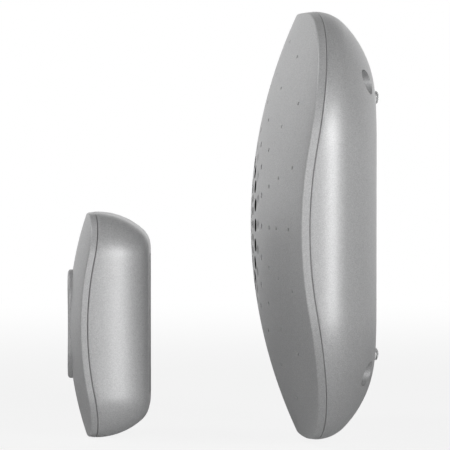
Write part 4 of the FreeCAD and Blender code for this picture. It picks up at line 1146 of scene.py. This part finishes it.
def package(name, middle_x, half_wide):
    """A moulded chip body whose legs, beyond its sides, are tinned."""
    body = Finish(name)
    off = body.maths("ABSOLUTE", body.part(body.where, "X") - middle_x)
    tinned = body.maths("GREATER_THAN", off, half_wide + 0.02 * mm)
    grit = body.noise(2400.0, 2.0)
    black = body.blend(grit, (0.018, 0.018, 0.02), (0.045, 0.045, 0.05))
    return body.made({
        "Base Color": body.blend(tinned, black, (0.68, 0.67, 0.64)),
        "Metallic": tinned,
        "Roughness": 0.55 - tinned * 0.25 + grit * 0.08,
        "Normal": body.bump(grit, 0.4, 0.02 * mm),
    })


bound("sound_chip", package("sound_chip_package", middle_x=-14 * mm, half_wide=3.8 * mm))
tin = plated("tinned_steel", (0.64, 0.63, 0.60), 0.3)
bound("radio_module", tin)
bound("smoothing_capacitor", moulded("shrunk_sleeve", (0.03, 0.045, 0.11), 0.24, 400.0))
bound("antenna_coil", plated("enamelled_copper", (0.62, 0.27, 0.11), 0.25))


# Controls
# A slide switch for the volume and a push switch for the tune, both soldered to the board. Their
# black moulded slider and cap are reached through the housing's back.


bound("volume_switch", tin)
slider_x, slider_z = slider_place
slider = prism(
    "volume_knob", chime, half_wide=1.2 * mm, half_tall=1.3 * mm, corner=0.25 * mm,
    near=0.5 * mm, far=7.0 * mm, x=slider_x, z=slider_z, edge=0.2 * mm)
groove_pitch = 0.6 * mm
for item in (-1, 0, 1):
    shape(slider, prism(
        "grip_groove", chime, half_wide=0.14 * mm, half_tall=2 * mm, corner=0.1 * mm,
        near=0, far=0.75 * mm, x=slider_x + item * groove_pitch, z=slider_z), "DIFFERENCE")
painted(slider, black_plastic)
handed_over(slider, "volume_knob", "volume_slider")
bound("tune_switch", black_plastic)
stem = 1.6 * mm
stem_end = 7.7 * mm
stem_edge = 0.1 * mm
cap_radius = 2.5 * mm
cap_foot = 4.9 * mm
cap_outline = [
    (0, 0.42 * mm), (1.2 * mm, 0.36 * mm), (1.9 * mm, 0.3 * mm), (2.2 * mm, 0.36 * mm),
    (2.42 * mm, 0.52 * mm), (cap_radius, 0.8 * mm), (cap_radius, cap_foot), (stem, cap_foot),
    (stem, stem_end - stem_edge), (stem - stem_edge, stem_end), (0, stem_end)]
tune_cap = repeated(
    "tune_cap", chime, turned_about("cap", chime, cap_outline), [tune_place], black_plastic)
handed_over(tune_cap, "tune_cap", "tune_button")


# Back plate of the push
# A grey moulded plate that is screwed to the wall or door frame through two holes. The
# push snaps over it, which closes the opening to the cell.


plate_hole_rise = 17 * mm
plate_hole = 2.1 * mm
plate_edge = 0.3 * mm
back_plate = prism(
    "back_plate_moulding", push, plate_half_wide, plate_half_tall, plate_corner, 0, plate_thick,
    edge=plate_edge)
for z in (-plate_hole_rise, plate_hole_rise):
    shape(back_plate, rod("plate_hole", push, plate_hole, away, back_cut, 0, z), "DIFFERENCE")
painted(back_plate, moulded("grey_moulding", (0.30, 0.305, 0.31)))
handed_over(back_plate, "back_plate", "push_back_plate")


# Transmitter of the push
# A small board on two posts, with a push switch under the button, the transmitter chip and its
# resonator in a can. The coin cell sits behind it in a clip of plated spring steel.


bound("push_circuit_board", green_resist("push_resist", x_shift=0.4 * mm, z_shift=0.7 * mm))
bound("push_board_screws", zinc)
bound("push_switch", tin)
bound("push_switch_plunger", black_plastic)
bound("coin_cell", plated("cell_steel", (0.66, 0.66, 0.65), 0.2, 1.0, 900.0))
bound("cell_clip", nickel)
bound("transmitter_chip", package("transmitter_package", middle_x=-9 * mm, half_wide=1.95 * mm))
bound("resonator_can", tin)
